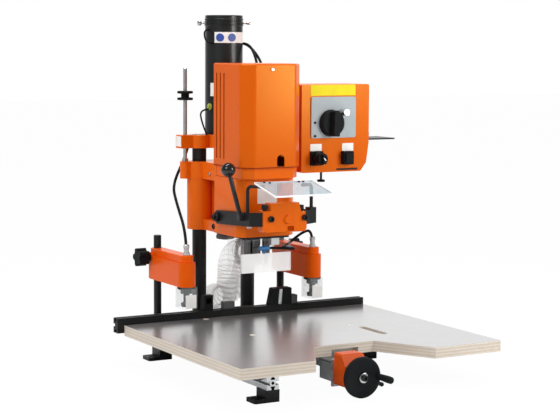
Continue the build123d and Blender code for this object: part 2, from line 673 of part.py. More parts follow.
def make_main_spindle():
    outline = [(0, CHUCK_LOW), (12, CHUCK_LOW), (13, CHUCK_LOW + 2), (13, 226)]
    outline += [(12, 227), (12, 230), (13, 231)]
    outline += [(13, 242), (10, 243.5), (10, 420), (0, 420)]
    spindle = turned_z(outline, 0, DRILL_Y)
    spindle += prism_z(gear_outline(0, DRILL_Y, 0), GEAR_LOW, GEAR_HIGH)
    return spindle - rod_z(0, DRILL_Y, 5, CHUCK_LOW - 1, CHUCK_LOW + 20)


def make_cup_bit():
    outline = [(0, BIT_TIP - 1), (1.5, BIT_TIP + 3), (1.5, BIT_TIP + 9), (13, BIT_TIP + 9)]
    outline += [(15.5, BIT_TIP + 1), (17.5, BIT_TIP), (17.5, BIT_TIP + 13)]
    outline += [(16, BIT_TIP + 15), (8, BIT_TIP + 15), (8, CHUCK_LOW)]
    outline += [(5, CHUCK_LOW), (5, CHUCK_LOW + 20), (0, CHUCK_LOW + 20)]
    bit = turned_z(outline, 0, DRILL_Y)
    for turn in (0, 180):
        gap = block(3, 20, 0, 7, BIT_TIP - 2, BIT_TIP + 12)
        bit -= Pos(0, DRILL_Y, 0) * Rot(0, 0, turn) * gap
    return bit


def make_side_spindle(side):
    x = side * SIDE_X
    outline = [(0, CHUCK_LOW), (7, CHUCK_LOW), (8, CHUCK_LOW + 2), (8, 242), (6, 243.5), (6, 340), (0, 340)]
    spindle = turned_z(outline, x, SIDE_Y)
    spindle += prism_z(gear_outline(x, SIDE_Y, gear_phase(side)), GEAR_LOW, GEAR_HIGH)
    spindle -= rod_z(x, SIDE_Y, 3.5, CHUCK_LOW - 1, CHUCK_LOW + 20)
    tip = [(0, BIT_TIP - 1), (4, BIT_TIP + 1), (4, CHUCK_LOW), (3.5, CHUCK_LOW)]
    tip += [(3.5, CHUCK_LOW + 20), (0, CHUCK_LOW + 20)]
    return group(spindle, turned_z(tip, x, SIDE_Y))


# Press arm

def make_ram_arms():
    lift = 7.0
    half = ARM_HIGH / 2
    front = ARM_BEND
    side = [(PIVOT_Y, PIVOT_Z - half), (front, PIVOT_Z + lift - half), (front, PIVOT_Z + lift + half)]
    side += [(PIVOT_Y, PIVOT_Z + half)]
    arm = prism_x(side, -ARM_OUT, -ARM_IN) + rod_x(PIVOT_Y, PIVOT_Z, half, -ARM_OUT, -ARM_IN)
    bend = [(-ARM_OUT, front + 4), (-ARM_OUT, front), (-BLOCK_HALF, -175)]
    bend += [(-BLOCK_HALF, -168), (-ARM_IN, front + 1)]
    bend += [(-ARM_IN, front + 4)]
    arm += prism_z(bend, PIVOT_Z + lift - half, PIVOT_Z + lift + half)
    arm -= rod_x(PIVOT_Y, PIVOT_Z, PIVOT_R + RUN, -80, -60)
    return group(arm, mirrored(arm))


def make_ram_block():
    half, low, top = BLOCK_HALF, BLOCK_LOW, BLOCK_TOP
    outline = [(-half, low + 4), (-half + 4, low), (half - 4, low), (half, low + 6), (half, low + 16)]
    outline += [(half - 3, low + 40), (half - 13, low + 40), (half - 18, top), (-half + 17, top)]
    outline += [(-half + 17, low + 44), (-half, low + 44)]
    body = prism_y(outline, BLOCK_FRONT, BLOCK_BACK)
    body = chamfer(body.edges().group_by(Axis.Y)[0], 1.5)
    boss = [(0, BLOCK_FRONT + 2), (10, BLOCK_FRONT + 2), (8, BLOCK_FRONT - 5), (0, BLOCK_FRONT - 5)]
    body += turned_y(boss, 5, 296)
    return body - block(3, 20, BLOCK_FRONT - 1, BLOCK_BACK + 1, low - 1, low + 12)


def make_ram_lever():
    root = Vector(-ARM_OUT - 6, -138, 300)
    ball = Vector(-95, -114, 394)
    way = ball - root
    plane = Plane(origin=root, z_dir=way)
    rod = extrude(plane * Circle(4.5), amount=way.length - 8) + rod_x(-138, 300, 7, -ARM_OUT - 12, -ARM_OUT)
    knob = Pos(ball.X, ball.Y, ball.Z) * Sphere(14.5)
    hole = extrude(plane * Circle(4.5), amount=way.length - 8)
    return group(rod, knob - hole)


def visor_z(y):
    return 369 + (y + 170) * 20.5 / 86


def make_visor_frame():
    left = bent_rod([(-71, -151, 306), (-71, -151, 363), (-50, -180, visor_z(-180) - 3.6)], 3.5, 9)
    socket = block(62, 80, -168, -150, 284, 316)
    socket = fillet(socket.edges().filter_by(Axis.Z), 3)
    right = bent_rod([(72, -159, 312), (72, -159, 362), (40, -178, visor_z(-178) - 3.6)], 3.5, 9)
    right += socket
    for arm in make_ram_arms().solids():
        left -= arm
        right -= arm
    return group(left, right)


def make_visor():
    back, front = -170.0, -256.0
    outline = [(back, visor_z(back)), (back, visor_z(back) + 3), (front, visor_z(front) + 3)]
    outline += [(front, visor_z(front))]
    return prism_x(outline, -67, 67)


# Hold-downs

def make_hold_arm(x, side):
    middle = (COLUMN_Y + PRESS_Y) / 2
    reach = COLUMN_Y - PRESS_Y + 2 * HOLD_HALF
    body = Pos(x, middle, HOLD_LOW) * SlotOverall(reach, 2 * HOLD_HALF, rotation=90)
    arm = extrude(body, amount=HOLD_LEDGE - HOLD_LOW)
    raised = Pos(x, middle, HOLD_LEDGE) * SlotOverall(reach - 9, 2 * HOLD_HALF - 9, rotation=90)
    raised = extrude(raised, amount=HOLD_TOP - HOLD_LEDGE)
    arm += fillet(raised.faces().sort_by(Axis.Z)[-1].edges(), 2)
    arm += rod_x(COLUMN_Y, 200, 10, *sorted((x, x + side * HOLD_HALF)))
    arm -= rod_z(x, COLUMN_Y, HOLD_ROD_R + RUN, 140, 230)
    arm -= block(x - 1, x + 1, COLUMN_Y, 110, 140, 230)
    arm -= rod_z(x, PRESS_Y, 12 + RUN, 150, 196)
    return arm - rod_x(COLUMN_Y, 200, 5 + RUN, *sorted((x + side * 8.5, x + side * 30)))


def make_star_knob(x, side):
    start = x + side * (HOLD_HALF + 0.5)
    lobes = Circle(14)
    for n in range(5):
        lobes += Pos(13.5 * cos(2 * pi * n / 5), 13.5 * sin(2 * pi * n / 5)) * Circle(6)
    face = Plane(origin=(start + side * 7, COLUMN_Y, 200), x_dir=(0, 1, 0), z_dir=(side, 0, 0))
    knob = extrude(face * lobes, amount=22)
    knob += rod_x(COLUMN_Y, 200, 9, *sorted((start, start + side * 8)))
    return knob + rod_x(COLUMN_Y, 200, 5, *sorted((x + side * 9, start)))


def make_press_foot(x):
    outline = [(0, 113), (10, 113), (11, 115), (11, 120), (6, 123), (6, 140)]
    outline += [(12, 140), (12, 190), (0, 190)]
    return turned_z(outline, x, PRESS_Y)


def make_press_guard(x):
    high = HOLD_LOW - GUARD_LOW
    shell = extrude(Pos(x, PRESS_Y, GUARD_LOW) * RectangleRounded(33, 42, 5), amount=high)
    shell -= extrude(Pos(x, PRESS_Y, GUARD_LOW - 1) * RectangleRounded(29, 38, 3), amount=high - 2)
    return shell - rod_z(x, PRESS_Y, 13, 140, 160)


# Hoses

def hose_path():
    out = hypot(RISER_X, RISER_Y - COLUMN_Y)
    inward = (-RISER_X / out, (COLUMN_Y - RISER_Y) / out)
    points = [(HOSE_X, HOOD_BACK + 5, HOSE_Z), (HOSE_X, 52, HOSE_Z), (HOSE_X, 52, HOSE_FLOOR)]
    points += [(HOSE_X, RISER_Y, HOSE_FLOOR), (RISER_X, RISER_Y, HOSE_FLOOR), (RISER_X, RISER_Y, RISER_TOP)]
    points.append((RISER_X + 48 * inward[0], RISER_Y + 48 * inward[1], RISER_TOP + 48))
    return runs(points, 44)


def hose_planes(lengths):
    # Planes across the hose, each turned as little as possible from the one before.
    path = hose_path()
    side = Vector(1, 0, 0)
    planes = []
    for length in lengths:
        spot = path.position_at(length, position_mode=PositionMode.LENGTH)
        way = path.tangent_at(length, position_mode=PositionMode.LENGTH)
        side = (side - way * side.dot(way)).normalized()
        planes.append(Plane(origin=spot, x_dir=side, z_dir=way))
    return planes


def make_extraction_hose():
    total = hose_path().length
    cuff = 20
    ribs = int((total - 2 * cuff) / HOSE_PITCH)
    half = (total - 2 * cuff) / ribs / 2
    lengths = [0, cuff - 3] + [cuff + n * half for n in range(2 * ribs)] + [total - cuff + 3, total]
    radii = [HOSE_CREST_R, HOSE_CREST_R] + ribs * [HOSE_VALLEY_R, HOSE_CREST_R]
    radii += [HOSE_VALLEY_R, HOSE_VALLEY_R]
    rings = [plane * Circle(r) for plane, r in zip(hose_planes(lengths), radii)]
    count = round(total / 14)
    bore = hose_planes([total * n / count for n in range(count + 1)])
    core = [plane * Circle(HOSE_BORE_R + 0.02) for plane in bore]
    return loft(rings, ruled=True) - loft(core, ruled=True)


def make_left_air_hose():
    x = HOLD_LEFT_X
    points = [(x, PRESS_Y, HOLD_TOP), (x, PRESS_Y, 262), (-126, 60, 316), (-106, 118, 346)]
    points += [(-72, 130, 400), (-COLUMN_X, 130, 440), (-COLUMN_X, 111, 440)]
    return tube(points, 3, 25)


def make_right_air_hose():
    corner_x = HOOD_HALF + 3.7
    wall = HOOD_FRONT + 1
    points = [(6, wall, TEE_Z), (24, wall, TEE_Z), (corner_x, wall - 14, CORNER_TEE_Z)]
    front = tube(points + [(corner_x, -98, CORNER_TEE_Z)], 2.8, 8)
    points = [(corner_x, -78, CORNER_TEE_Z), (corner_x, -58, CORNER_TEE_Z), (84, -26, 216), (122, -40, 250)]
    points += [(HOLD_RIGHT_X, PRESS_Y, 254), (HOLD_RIGHT_X, PRESS_Y, HOLD_TOP)]
    return group(front, tube(points, 2.8, 14))


def make_motor_leads():
    leads = []
    for x, turn in ((44, -22), (56, -6)):
        points = [pipe_spot(turn, 646), pipe_spot(turn, 646, 16), (x + 2, 22, 606)]
        points += [(x, 14, 570), (x, COVER_BACK, 570)]
        leads.append(tube(points, 2.8, 12))
    return group(*leads)


PARTS = {
    "base_profiles": make_base_profiles,
    "rear_beam": make_rear_beam,
    "feet": make_feet,
    "columns": make_columns,
    "hold_down_rods": make_hold_down_rods,
    "column_yoke": make_column_yoke,
    "extraction_pipe": make_extraction_pipe,
    "feed_piston": make_feed_piston,
    "screw_nut": make_screw_nut,
    "earth_leads": make_earth_leads,
    "table_plate": make_table_plate,
    "fence_rail": make_fence_rail,
    "table_guides": make_table_guides,
    "position_counter": make_position_counter,
    "screw_bearing": make_screw_bearing,
    "table_screw": make_table_screw,
    "handwheel": make_handwheel,
    "crank_grip": make_crank_grip,
    "clamp_lever": make_clamp_lever,
    "left_stop": make_left_stop,
    "right_stop": make_right_stop,
    "head_casting": make_head_casting,
    "column_bushes": make_column_bushes,
    "gear_cover": make_gear_cover,
    "motor": make_motor,
    "motor_cover": make_motor_cover,
    "stop_rod": make_stop_rod,
    "stop_nuts": make_stop_nuts,
    "pivot_bolts": make_pivot_bolts,
    "control_box": make_control_box,
    "switch_plate": make_switch_plate,
    "button_block": make_button_block,
    "main_knob": make_main_knob,
    "selector_knob": make_selector_knob,
    "push_button": make_push_button,
    "regulator_knob": make_regulator_knob,
    "shelf": make_shelf,
    "chip_hood": make_chip_hood,
    "air_tees": make_air_tees,
    "main_spindle": make_main_spindle,
    "cup_bit": make_cup_bit,
    "left_spindle": lambda: make_side_spindle(-1),
    "right_spindle": lambda: make_side_spindle(1),
    "ram_arms": make_ram_arms,
    "ram_block": make_ram_block,
    "ram_lever": make_ram_lever,
    "visor_frame": make_visor_frame,
    "visor": make_visor,
    "left_arm": lambda: make_hold_arm(HOLD_LEFT_X, -1),
    "right_arm": lambda: make_hold_arm(HOLD_RIGHT_X, 1),
    "left_star_knob": lambda: make_star_knob(HOLD_LEFT_X, -1),
    "right_star_knob": lambda: make_star_knob(HOLD_RIGHT_X, 1),
    "left_foot": lambda: make_press_foot(HOLD_LEFT_X),
    "right_foot": lambda: make_press_foot(HOLD_RIGHT_X),
    "left_guard": lambda: make_press_guard(HOLD_LEFT_X),
    "right_guard": lambda: make_press_guard(HOLD_RIGHT_X),
    "extraction_hose": make_extraction_hose,
    "left_air_hose": make_left_air_hose,
    "right_air_hose": make_right_air_hose,
    "motor_leads": make_motor_leads,
}

os.makedirs("parts", exist_ok=True)
for name, make in PARTS.items():
    export_step(make(), f"parts/{name}.step")
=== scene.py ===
import bmesh
import bpy
import json
from math import cos, pi, radians, sin, tau
from mathutils import Matrix, Vector


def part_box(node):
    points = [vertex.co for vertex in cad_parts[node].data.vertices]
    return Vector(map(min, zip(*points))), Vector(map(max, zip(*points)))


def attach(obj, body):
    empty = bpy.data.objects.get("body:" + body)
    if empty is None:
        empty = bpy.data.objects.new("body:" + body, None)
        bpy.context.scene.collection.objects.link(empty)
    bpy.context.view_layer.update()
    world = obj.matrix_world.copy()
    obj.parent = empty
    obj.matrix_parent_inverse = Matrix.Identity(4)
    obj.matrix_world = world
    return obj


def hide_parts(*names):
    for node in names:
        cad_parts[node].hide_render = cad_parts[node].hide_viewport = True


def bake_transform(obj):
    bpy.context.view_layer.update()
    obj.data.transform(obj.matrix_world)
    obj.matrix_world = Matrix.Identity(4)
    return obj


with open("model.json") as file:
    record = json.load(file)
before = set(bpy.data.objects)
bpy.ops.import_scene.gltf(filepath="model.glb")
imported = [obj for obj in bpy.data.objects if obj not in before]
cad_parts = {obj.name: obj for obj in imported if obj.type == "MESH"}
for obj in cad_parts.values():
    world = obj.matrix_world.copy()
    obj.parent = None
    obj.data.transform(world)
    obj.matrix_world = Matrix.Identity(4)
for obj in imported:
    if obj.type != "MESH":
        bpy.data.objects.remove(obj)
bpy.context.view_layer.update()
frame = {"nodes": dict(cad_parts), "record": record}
nodes = frame["nodes"]


def middle(node):
    """The middle of a CAD node's box at rest."""
    low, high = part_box(node)
    return (low + high) / 2


# Places read from the frame, in metres. X runs right along the fence, Y back, Z up.
hood_low, hood_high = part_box("chip_hood")
cover_low, cover_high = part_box("motor_cover")
box_low, box_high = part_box("control_box")
rail_low, rail_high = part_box("fence_rail")
DRILL_Y = middle("cup_bit").y
COLUMN_Y = middle("columns").y
HOLD_LEFT_X = middle("left_foot").x
HOLD_RIGHT_X = middle("right_foot").x
ARM_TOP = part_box("left_arm")[1].z
GUARD_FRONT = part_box("left_guard")[0].y
HOOD_HALF = hood_high.x
HOOD_FRONT = hood_low.y
HOOD_PANEL_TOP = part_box("air_tees")[0].z
COVER_SIDE = cover_high.x
COVER_FRONT = cover_low.y
COVER_BACK = cover_high.y
COVER_TOP = cover_high.z
BOX_FRONT = box_low.y
BOX_BACK = box_high.y
SWITCH_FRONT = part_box("switch_plate")[0].y
YOKE_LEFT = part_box("column_yoke")[0].x
PLATE_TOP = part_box("table_plate")[1].z
RAIL_FRONT = rail_low.y
RAIL_TOP = rail_high.z
RAIL_MIDDLE = middle("fence_rail")
STOP_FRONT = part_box("right_stop")[0].y
WHEEL_X = middle("table_screw").x
WHEEL_Z = middle("table_screw").z

# Sizes that the boxes don't give
COLUMN_X = 0.0585
PIPE_R = 0.040
GEARBOX_FRONT = -0.109
GEARBOX_SIDE = 0.062
FLANGE_SIDE = 0.065
PIVOT_X = 0.0808
PIVOT_Y = -0.027
PIVOT_Z = 0.290
RAM_FRONT = -0.180
VISOR_BACK = (-0.170, 0.3722)
VISOR_SLOPE = 0.2384
RAIL_OPENING_X = -0.0068
RAIL_OPENING_WIDTH = 0.0335
SWITCH_LOCK_X = 0.1950
SWITCH_LOCK_Z = 0.5030
BALL_CENTRE = (-0.095, -0.114, 0.394)
BALL_REACH = 0.0155
PLY_PAIR = 0.0060
SHADOW_STRIP_CUT = 0.0218
SUNK = 0.0004
FITTING_SUNK = 0.0005


def adder(tree):
    """A function that adds a node to a tree, with its settings and the values or links of its inputs."""

    def add(kind, settings=None, sockets=None):
        made = tree.nodes.new(kind)
        for key, value in (settings or {}).items():
            setattr(made, key, value)
        for key, value in (sockets or {}).items():
            if isinstance(value, bpy.types.NodeSocket):
                tree.links.new(value, made.inputs[key])
            else:
                made.inputs[key].default_value = value
        return made

    return add


class Value:
    """A shader socket whose arithmetic adds Math nodes."""

    def __init__(self, finish, socket):
        self.finish = finish
        self.socket = socket

    def joined(self, operation, first, second):
        return self.finish.node("ShaderNodeMath", {"operation": operation}, {0: first, 1: second})

    def __add__(self, other):
        return self.joined("ADD", self, other)

    def __radd__(self, other):
        return self.joined("ADD", other, self)

    def __sub__(self, other):
        return self.joined("SUBTRACT", self, other)

    def __rsub__(self, other):
        return self.joined("SUBTRACT", other, self)

    def __mul__(self, other):
        return self.joined("MULTIPLY", self, other)

    def __rmul__(self, other):
        return self.joined("MULTIPLY", other, self)

    def __gt__(self, other):
        return self.joined("GREATER_THAN", self, other)


class Finish:
    """One node material, with its Principled shader and Object coordinates at hand."""

    def __init__(self, name, **sockets):
        self.material = bpy.data.materials.new(name)
        self.material.use_nodes = True
        self.tree = self.material.node_tree
        self.add = adder(self.tree)
        self.shader = self.tree.nodes["Principled BSDF"]
        self.place = self.node("ShaderNodeTexCoord", out="Object")
        for socket, value in sockets.items():
            self.put(socket.replace("_", " "), value)

    def node(self, kind, settings=None, sockets=None, out=0):
        made = self.add(kind, settings)
        for key, value in (sockets or {}).items():
            self.feed(made.inputs[key], value)
        return Value(self, made.outputs[out])

    def feed(self, socket, value):
        if isinstance(value, Value):
            self.tree.links.new(value.socket, socket)
        else:
            socket.default_value = value

    def put(self, socket, value):
        self.feed(self.shader.inputs[socket], value)

    def noise(self, scale, detail=2.0, stretch=(1, 1, 1)):
        spot = self.node("ShaderNodeMapping", None, {"Vector": self.place, "Scale": stretch})
        return self.node("ShaderNodeTexNoise", None, {"Vector": spot, "Scale": scale, "Detail": detail})

    def blend(self, share, first, second):
        return self.node("ShaderNodeMix", {"data_type": "RGBA"}, {0: share, 6: first, 7: second}, out=2)

    def bump(self, height, strength, distance):
        sockets = {"Strength": strength, "Distance": distance, "Height": height}
        self.put("Normal", self.node("ShaderNodeBump", None, sockets))


def shade(colour, factor):
    """A colour made darker or lighter, with its alpha."""
    return tuple(min(1.0, c * factor) for c in colour) + (1.0,)


def painted(name, colour, rough, gloss=0.30, peel=0.08, scuffs=0.08, sheen=(1, 1, 1)):
    """Sprayed paint: orange peel, slow colour drift and a few duller rubbed places."""
    made = Finish(name, Specular_IOR_Level=gloss, Specular_Tint=(*sheen, 1))
    drift = made.noise(9.0, 3.0)
    made.put("Base Color", made.blend(drift, shade(colour, 0.93), shade(colour, 1.06)))
    rubbed = made.noise(38.0, 5.0)
    made.put("Roughness", rubbed * scuffs + (rough - scuffs / 2))
    made.bump(made.noise(1500.0, 1.0), peel, 0.0002)
    return made.material


def brushed(name, colour, rough, along):
    """Drawn or turned metal with fine lines along one axis."""
    made = Finish(name, Metallic=1.0)
    stretch = tuple(0.02 if axis == along else 1.0 for axis in "xyz")
    lines = made.noise(900.0, 3.0, stretch)
    made.put("Base Color", made.blend(lines, shade(colour, 0.86), shade(colour, 1.08)))
    made.put("Roughness", lines * 0.16 + (rough - 0.08))
    made.bump(lines, 0.08, 0.0001)
    return made.material


def moulded(name, colour, rough, grain=0.12, gloss=0.40):
    """Moulded plastic with a fine spark-eroded grain."""
    made = Finish(name, Specular_IOR_Level=gloss)
    cloud = made.noise(55.0, 4.0)
    made.put("Base Color", made.blend(cloud, shade(colour, 0.88), shade(colour, 1.10)))
    made.put("Roughness", cloud * 0.10 + (rough - 0.05))
    made.bump(made.noise(2600.0, 1.0), grain, 0.00015)
    return made.material


def ball_lever():
    """Black moulding, polished on the ball and satin on the rod below it."""
    made = Finish("polished_ball_lever", Specular_IOR_Level=0.55)
    cloud = made.noise(55.0, 4.0)
    made.put("Base Color", made.blend(cloud, shade(BLACK, 0.7), shade(BLACK, 1.1)))
    reach = made.node("ShaderNodeVectorMath", {"operation": "DISTANCE"},
                      {0: made.place, 1: BALL_CENTRE}, out="Value")
    made.put("Roughness", (reach > BALL_REACH) * 0.28 + cloud * 0.08 + 0.06)
    return made.material


def clear_sheet(name, tint, alpha, frost_glow_limit=None, rims=()):
    """Clear acrylic with handling haze, with frosting below and ahead of a (y, z) limit, where it also glows
    faintly: painted light standing in for light passing through.

    Rims are (axis, middle, half) limits, past which the cut edge shows pale.
    """
    made = Finish(name, IOR=1.49, Specular_IOR_Level=0.5)
    haze = made.noise(24.0, 4.0)
    apart = {"Vector": made.place}
    where = {axis: made.node("ShaderNodeSeparateXYZ", None, apart, out=axis) for axis in "XYZ"}
    dense = haze * 0.06 + alpha
    if frost_glow_limit:
        frost_and_glow = (frost_glow_limit[0] - where["Y"] > 0) * (frost_glow_limit[1] - where["Z"] > 0)
        dense = dense + frost_and_glow * 0.52
        # The frosting glows faintly: painted light in place of light passing through the sheet.
        made.put("Emission Color", made.blend(frost_and_glow, (0, 0, 0, 1), (1, 1, 1, 1)))
        made.put("Emission Strength", 0.13)
    edge = None
    for axis, middle, half in rims:
        off = made.node("ShaderNodeMath", {"operation": "ABSOLUTE"}, {0: where[axis] - middle}) > half
        edge = off if edge is None else edge.joined("MAXIMUM", edge, off)
    if edge is None:
        made.put("Base Color", made.blend(haze, shade(tint, 0.94), shade(tint, 1.04)))
    else:
        made.put("Base Color", made.blend(edge, (*tint, 1), (0.90, 0.93, 0.94, 1)))
        dense = dense + edge * 0.6
    made.put("Roughness", haze * 0.08 + 0.06)
    made.put("Alpha", dense)
    made.material.surface_render_method = "BLENDED"
    return made.material


def ribbed_wall():
    """Clear hose wall, white on its crests, with painted shade in grey along its grooves, and fainter where
    it rises.
    """
    made = Finish("clear_ribbed_pvc", IOR=1.49, Specular_IOR_Level=0.4)
    rib = made.node("ShaderNodeAttribute", {"attribute_name": "rib"}, out="Fac")
    haze = made.noise(40.0, 3.0)
    crest = made.blend(haze, (0.88, 0.89, 0.89, 1), (0.95, 0.96, 0.96, 1))
    # The grooves are painted dark grey: painted shade in the creases between the ribs.
    groove_shade = made.node("ShaderNodeMath", {"operation": "POWER"}, {0: 1 - rib, 1: 4.0})
    made.put("Base Color", made.blend(groove_shade, crest, (0.30, 0.31, 0.31, 1)))
    height = made.node("ShaderNodeSeparateXYZ", None, {"Vector": made.place}, out="Z")
    thin = made.node("ShaderNodeMapRange", None,
                     {"Value": height, "From Min": 0.150, "From Max": 0.195, "To Min": 1.0, "To Max": 0.36})
    made.put("Alpha", (groove_shade * 0.30 + 0.28) * thin)
    made.put("Roughness", haze * 0.10 + 0.24)
    made.material.surface_render_method = "BLENDED"
    return made.material


def film_faced_board():
    """Plywood with a dark glossy film on its faces and bare plies at its edges."""
    made = Finish("film_faced_board", IOR=1.6, Coat_Roughness=0.20, Coat_IOR=1.6)
    facing = made.node("ShaderNodeNewGeometry", out="Normal")
    upright = made.node("ShaderNodeSeparateXYZ", None, {"Vector": facing}, out="Z")
    face = made.node("ShaderNodeMath", {"operation": "ABSOLUTE"}, {0: upright}) > 0.7
    height = made.node("ShaderNodeSeparateXYZ", None, {"Vector": made.place}, out="Z")
    plies = made.node("ShaderNodeMath", {"operation": "SINE"}, {0: height * (tau / PLY_PAIR)}) * 0.5 + 0.5
    grain = made.noise(190.0, 4.0, (0.06, 0.06, 1.0))
    wood = made.blend(plies, (0.54, 0.465, 0.385, 1), (0.67, 0.62, 0.555, 1))
    wood = made.blend(grain * 0.45, wood, (0.46, 0.38, 0.29, 1))
    cloud = made.noise(6.0, 3.0)
    film = made.blend(cloud, (0.150, 0.146, 0.148, 1), (0.190, 0.186, 0.188, 1))
    made.put("Base Color", made.blend(face, wood, film))
    smear = made.noise(30.0, 4.0)
    made.put("Roughness", 0.62 - face * 0.34 + smear * 0.05)
    made.put("Coat Weight", face)
    made.bump(grain * (1 - face), 0.25, 0.0004)
    return made.material


ORANGE = (0.770, 0.120, 0.003)
BLACK = (0.010, 0.011, 0.012)
finishes = {
    "orange": painted("orange_paint", ORANGE, 0.24, gloss=0.46, scuffs=0.06, sheen=(1.0, 0.80, 0.30)),
    "black_steel": painted("black_satin_paint", BLACK, 0.36, gloss=0.26, peel=0.06),
    "steel": brushed("turned_steel", (0.60, 0.60, 0.60), 0.28, "z"),
    "aluminium": brushed("extruded_aluminium", (0.66, 0.68, 0.70), 0.36, "y"),
    "black_rail": painted("black_anodised_rail", (0.012, 0.013, 0.013), 0.44, gloss=0.12, peel=0.03),
    "plywood": film_faced_board(),
    "black_plastic": moulded("black_moulding", BLACK, 0.50, gloss=0.07),
    "grey_plastic": moulded("switch_plate_grey", (0.40, 0.45, 0.475), 0.50, grain=0.05, gloss=0.15),
    # Orange moulding darkened with painted shade, to match the shadowed counter.
    "orange_plastic": moulded("orange_moulding_shaded", (0.520, 0.064, 0.003), 0.40, grain=0.04, gloss=0.14),
    "blue_plastic": moulded("blue_fitting", (0.020, 0.170, 0.420), 0.30, grain=0.04),
    "clear_plastic": clear_sheet("clear_acrylic", (0.72, 0.77, 0.79), 0.10),
    "hose_plastic": ribbed_wall(),
    "bronze": brushed("bearing_bronze", (0.60, 0.40, 0.18), 0.36, "z"),
}
dark_steel = brushed("blackened_spindle_steel", (0.16, 0.16, 0.16), 0.34, "z")
# Darker copies of the orange paint for the motor cover, the control box and the arms: painted shade that
# holds down their brightly lit faces.
cover_orange_shaded = painted("cover_paint_shaded", (0.680, 0.098, 0.003), 0.26, gloss=0.44, scuffs=0.06,
                       sheen=(1.0, 0.86, 0.18))
arm_orange_shaded = painted("arm_paint_shaded", (0.760, 0.090, 0.003), 0.32, gloss=0.22, scuffs=0.06,
                     sheen=(1.0, 0.80, 0.16))
own_finish = {
    "extraction_pipe": painted("black_pipe", BLACK, 0.30, gloss=0.42, peel=0.03),
    "ram_lever": ball_lever(),
    "visor": clear_sheet("visor_sheet", (0.38, 0.49, 0.55), 0.40,
                         rims=(("X", 0.0, 0.0654), ("Y", -0.213, 0.0414))),
    "chip_hood": clear_sheet("hood_sheet", (0.95, 0.96, 0.97), 0.05,
                             frost_glow_limit=(HOOD_FRONT + 0.0025, HOOD_PANEL_TOP)),
    "motor_cover": cover_orange_shaded,
    "control_box": cover_orange_shaded,
    "left_arm": arm_orange_shaded,
    "right_arm": arm_orange_shaded,
    "main_spindle": dark_steel,
    "left_spindle": dark_steel,
    "right_spindle": dark_steel,
}
sticker_white = moulded("blank_sticker", (0.86, 0.86, 0.84), 0.34, grain=0.02)
sticker_yellow = moulded("yellow_strip", (0.80, 0.68, 0.020), 0.50, grain=0.02, gloss=0.10)
sticker_blue = moulded("blue_disc", (0.030, 0.075, 0.360), 0.36, grain=0.02)
# Near black that paints the shade inside openings and slits.
opening_shade_paint = moulded("painted_opening_shade", (0.006, 0.006, 0.006), 0.70)
dark_grey = moulded("dark_grey_moulding", (0.075, 0.078, 0.078), 0.50)
# Dark red that paints the shadow under the motor cover's edge.
cover_shadow_paint = moulded("painted_cover_shadow", (0.300, 0.032, 0.004), 0.60, grain=0.02, gloss=0.08)
pale_plug = moulded("pale_plug", (0.70, 0.66, 0.58), 0.50)
terminal_green = moulded("terminal_green", (0.36, 0.42, 0.06), 0.42, grain=0.03)

for part in frame["record"]["subparts"]:
    node = nodes[part["node"]]
    node.data.materials.clear()
    node.data.materials.append(own_finish.get(part["node"], finishes[part["material_slot"]]))


def piece_from(bm, name, material):
    """A mesh object at the origin, merged and facing outwards."""
    bmesh.ops.remove_doubles(bm, verts=bm.verts, dist=1e-6)
    bmesh.ops.recalc_face_normals(bm, faces=bm.faces)
    mesh = bpy.data.meshes.new(name)
    bm.to_mesh(mesh)
    bm.free()
    mesh.materials.append(material)
    made = bpy.data.objects.new(name, mesh)
    bpy.context.scene.collection.objects.link(made)
    return made


def plain_mesh(source, name, material):
    """The evaluated shape of an object as a mesh piece of its own."""
    depsgraph = bpy.context.evaluated_depsgraph_get()
    mesh = bpy.data.meshes.new_from_object(source.evaluated_get(depsgraph))
    mesh.name = name
    mesh.materials.clear()
    mesh.materials.append(material)
    mesh.polygons.foreach_set("use_smooth", [True] * len(mesh.polygons))
    made = bpy.data.objects.new(name, mesh)
    bpy.context.scene.collection.objects.link(made)
    return made


def shape_tree(name, sizes):
    """A Geometry Nodes tree with inputs for a shape, its named sizes and its finish."""
    tree = bpy.data.node_groups.new(name, "GeometryNodeTree")
    face = tree.interface
    face.new_socket("Geometry", in_out="INPUT", socket_type="NodeSocketGeometry")
    for size, value in sizes.items():
        face.new_socket(size, in_out="INPUT", socket_type="NodeSocketFloat").default_value = value
    face.new_socket("Finish", in_out="INPUT", socket_type="NodeSocketMaterial")
    face.new_socket("Geometry", in_out="OUTPUT", socket_type="NodeSocketGeometry")
    return tree


def shaped(source, tree, name, inputs):
    """The mesh that a tree makes of an object with the inputs given, in place of that object."""
    setting = source.modifiers.new(tree.name, "NODES")
    setting.node_group = tree
    for socket in tree.interface.items_tree:
        if socket.in_out == "INPUT" and socket.name in inputs:
            setting[socket.identifier] = inputs[socket.name]
    bpy.context.view_layer.update()
    made = plain_mesh(source, name, inputs["Finish"])
    bpy.data.objects.remove(source)
    return made


def route(name, points):
    """A NURBS line with the route's points as its control points."""
    curve = bpy.data.curves.new(name, "CURVE")
    curve.dimensions = "3D"
    curve.resolution_u = 24
    spline = curve.splines.new("NURBS")
    spline.points.add(len(points) - 1)
    for knot, spot in zip(spline.points, points):
        knot.co = (*spot, 1.0)
    spline.order_u = 3
    spline.use_endpoint_u = True
    made = bpy.data.objects.new(name, curve)
    bpy.context.scene.collection.objects.link(made)
    return made


def line_of(route_object):
    """The points that a route's smooth line passes, in order."""
    depsgraph = bpy.context.evaluated_depsgraph_get()
    mesh = bpy.data.meshes.new_from_object(route_object.evaluated_get(depsgraph))
    spots = [v.co.copy() for v in mesh.vertices]
    bpy.data.meshes.remove(mesh)
    return spots


def length_of(spots):
    """The length of the line through points."""
    return sum((b - a).length for a, b in zip(spots, spots[1:]))


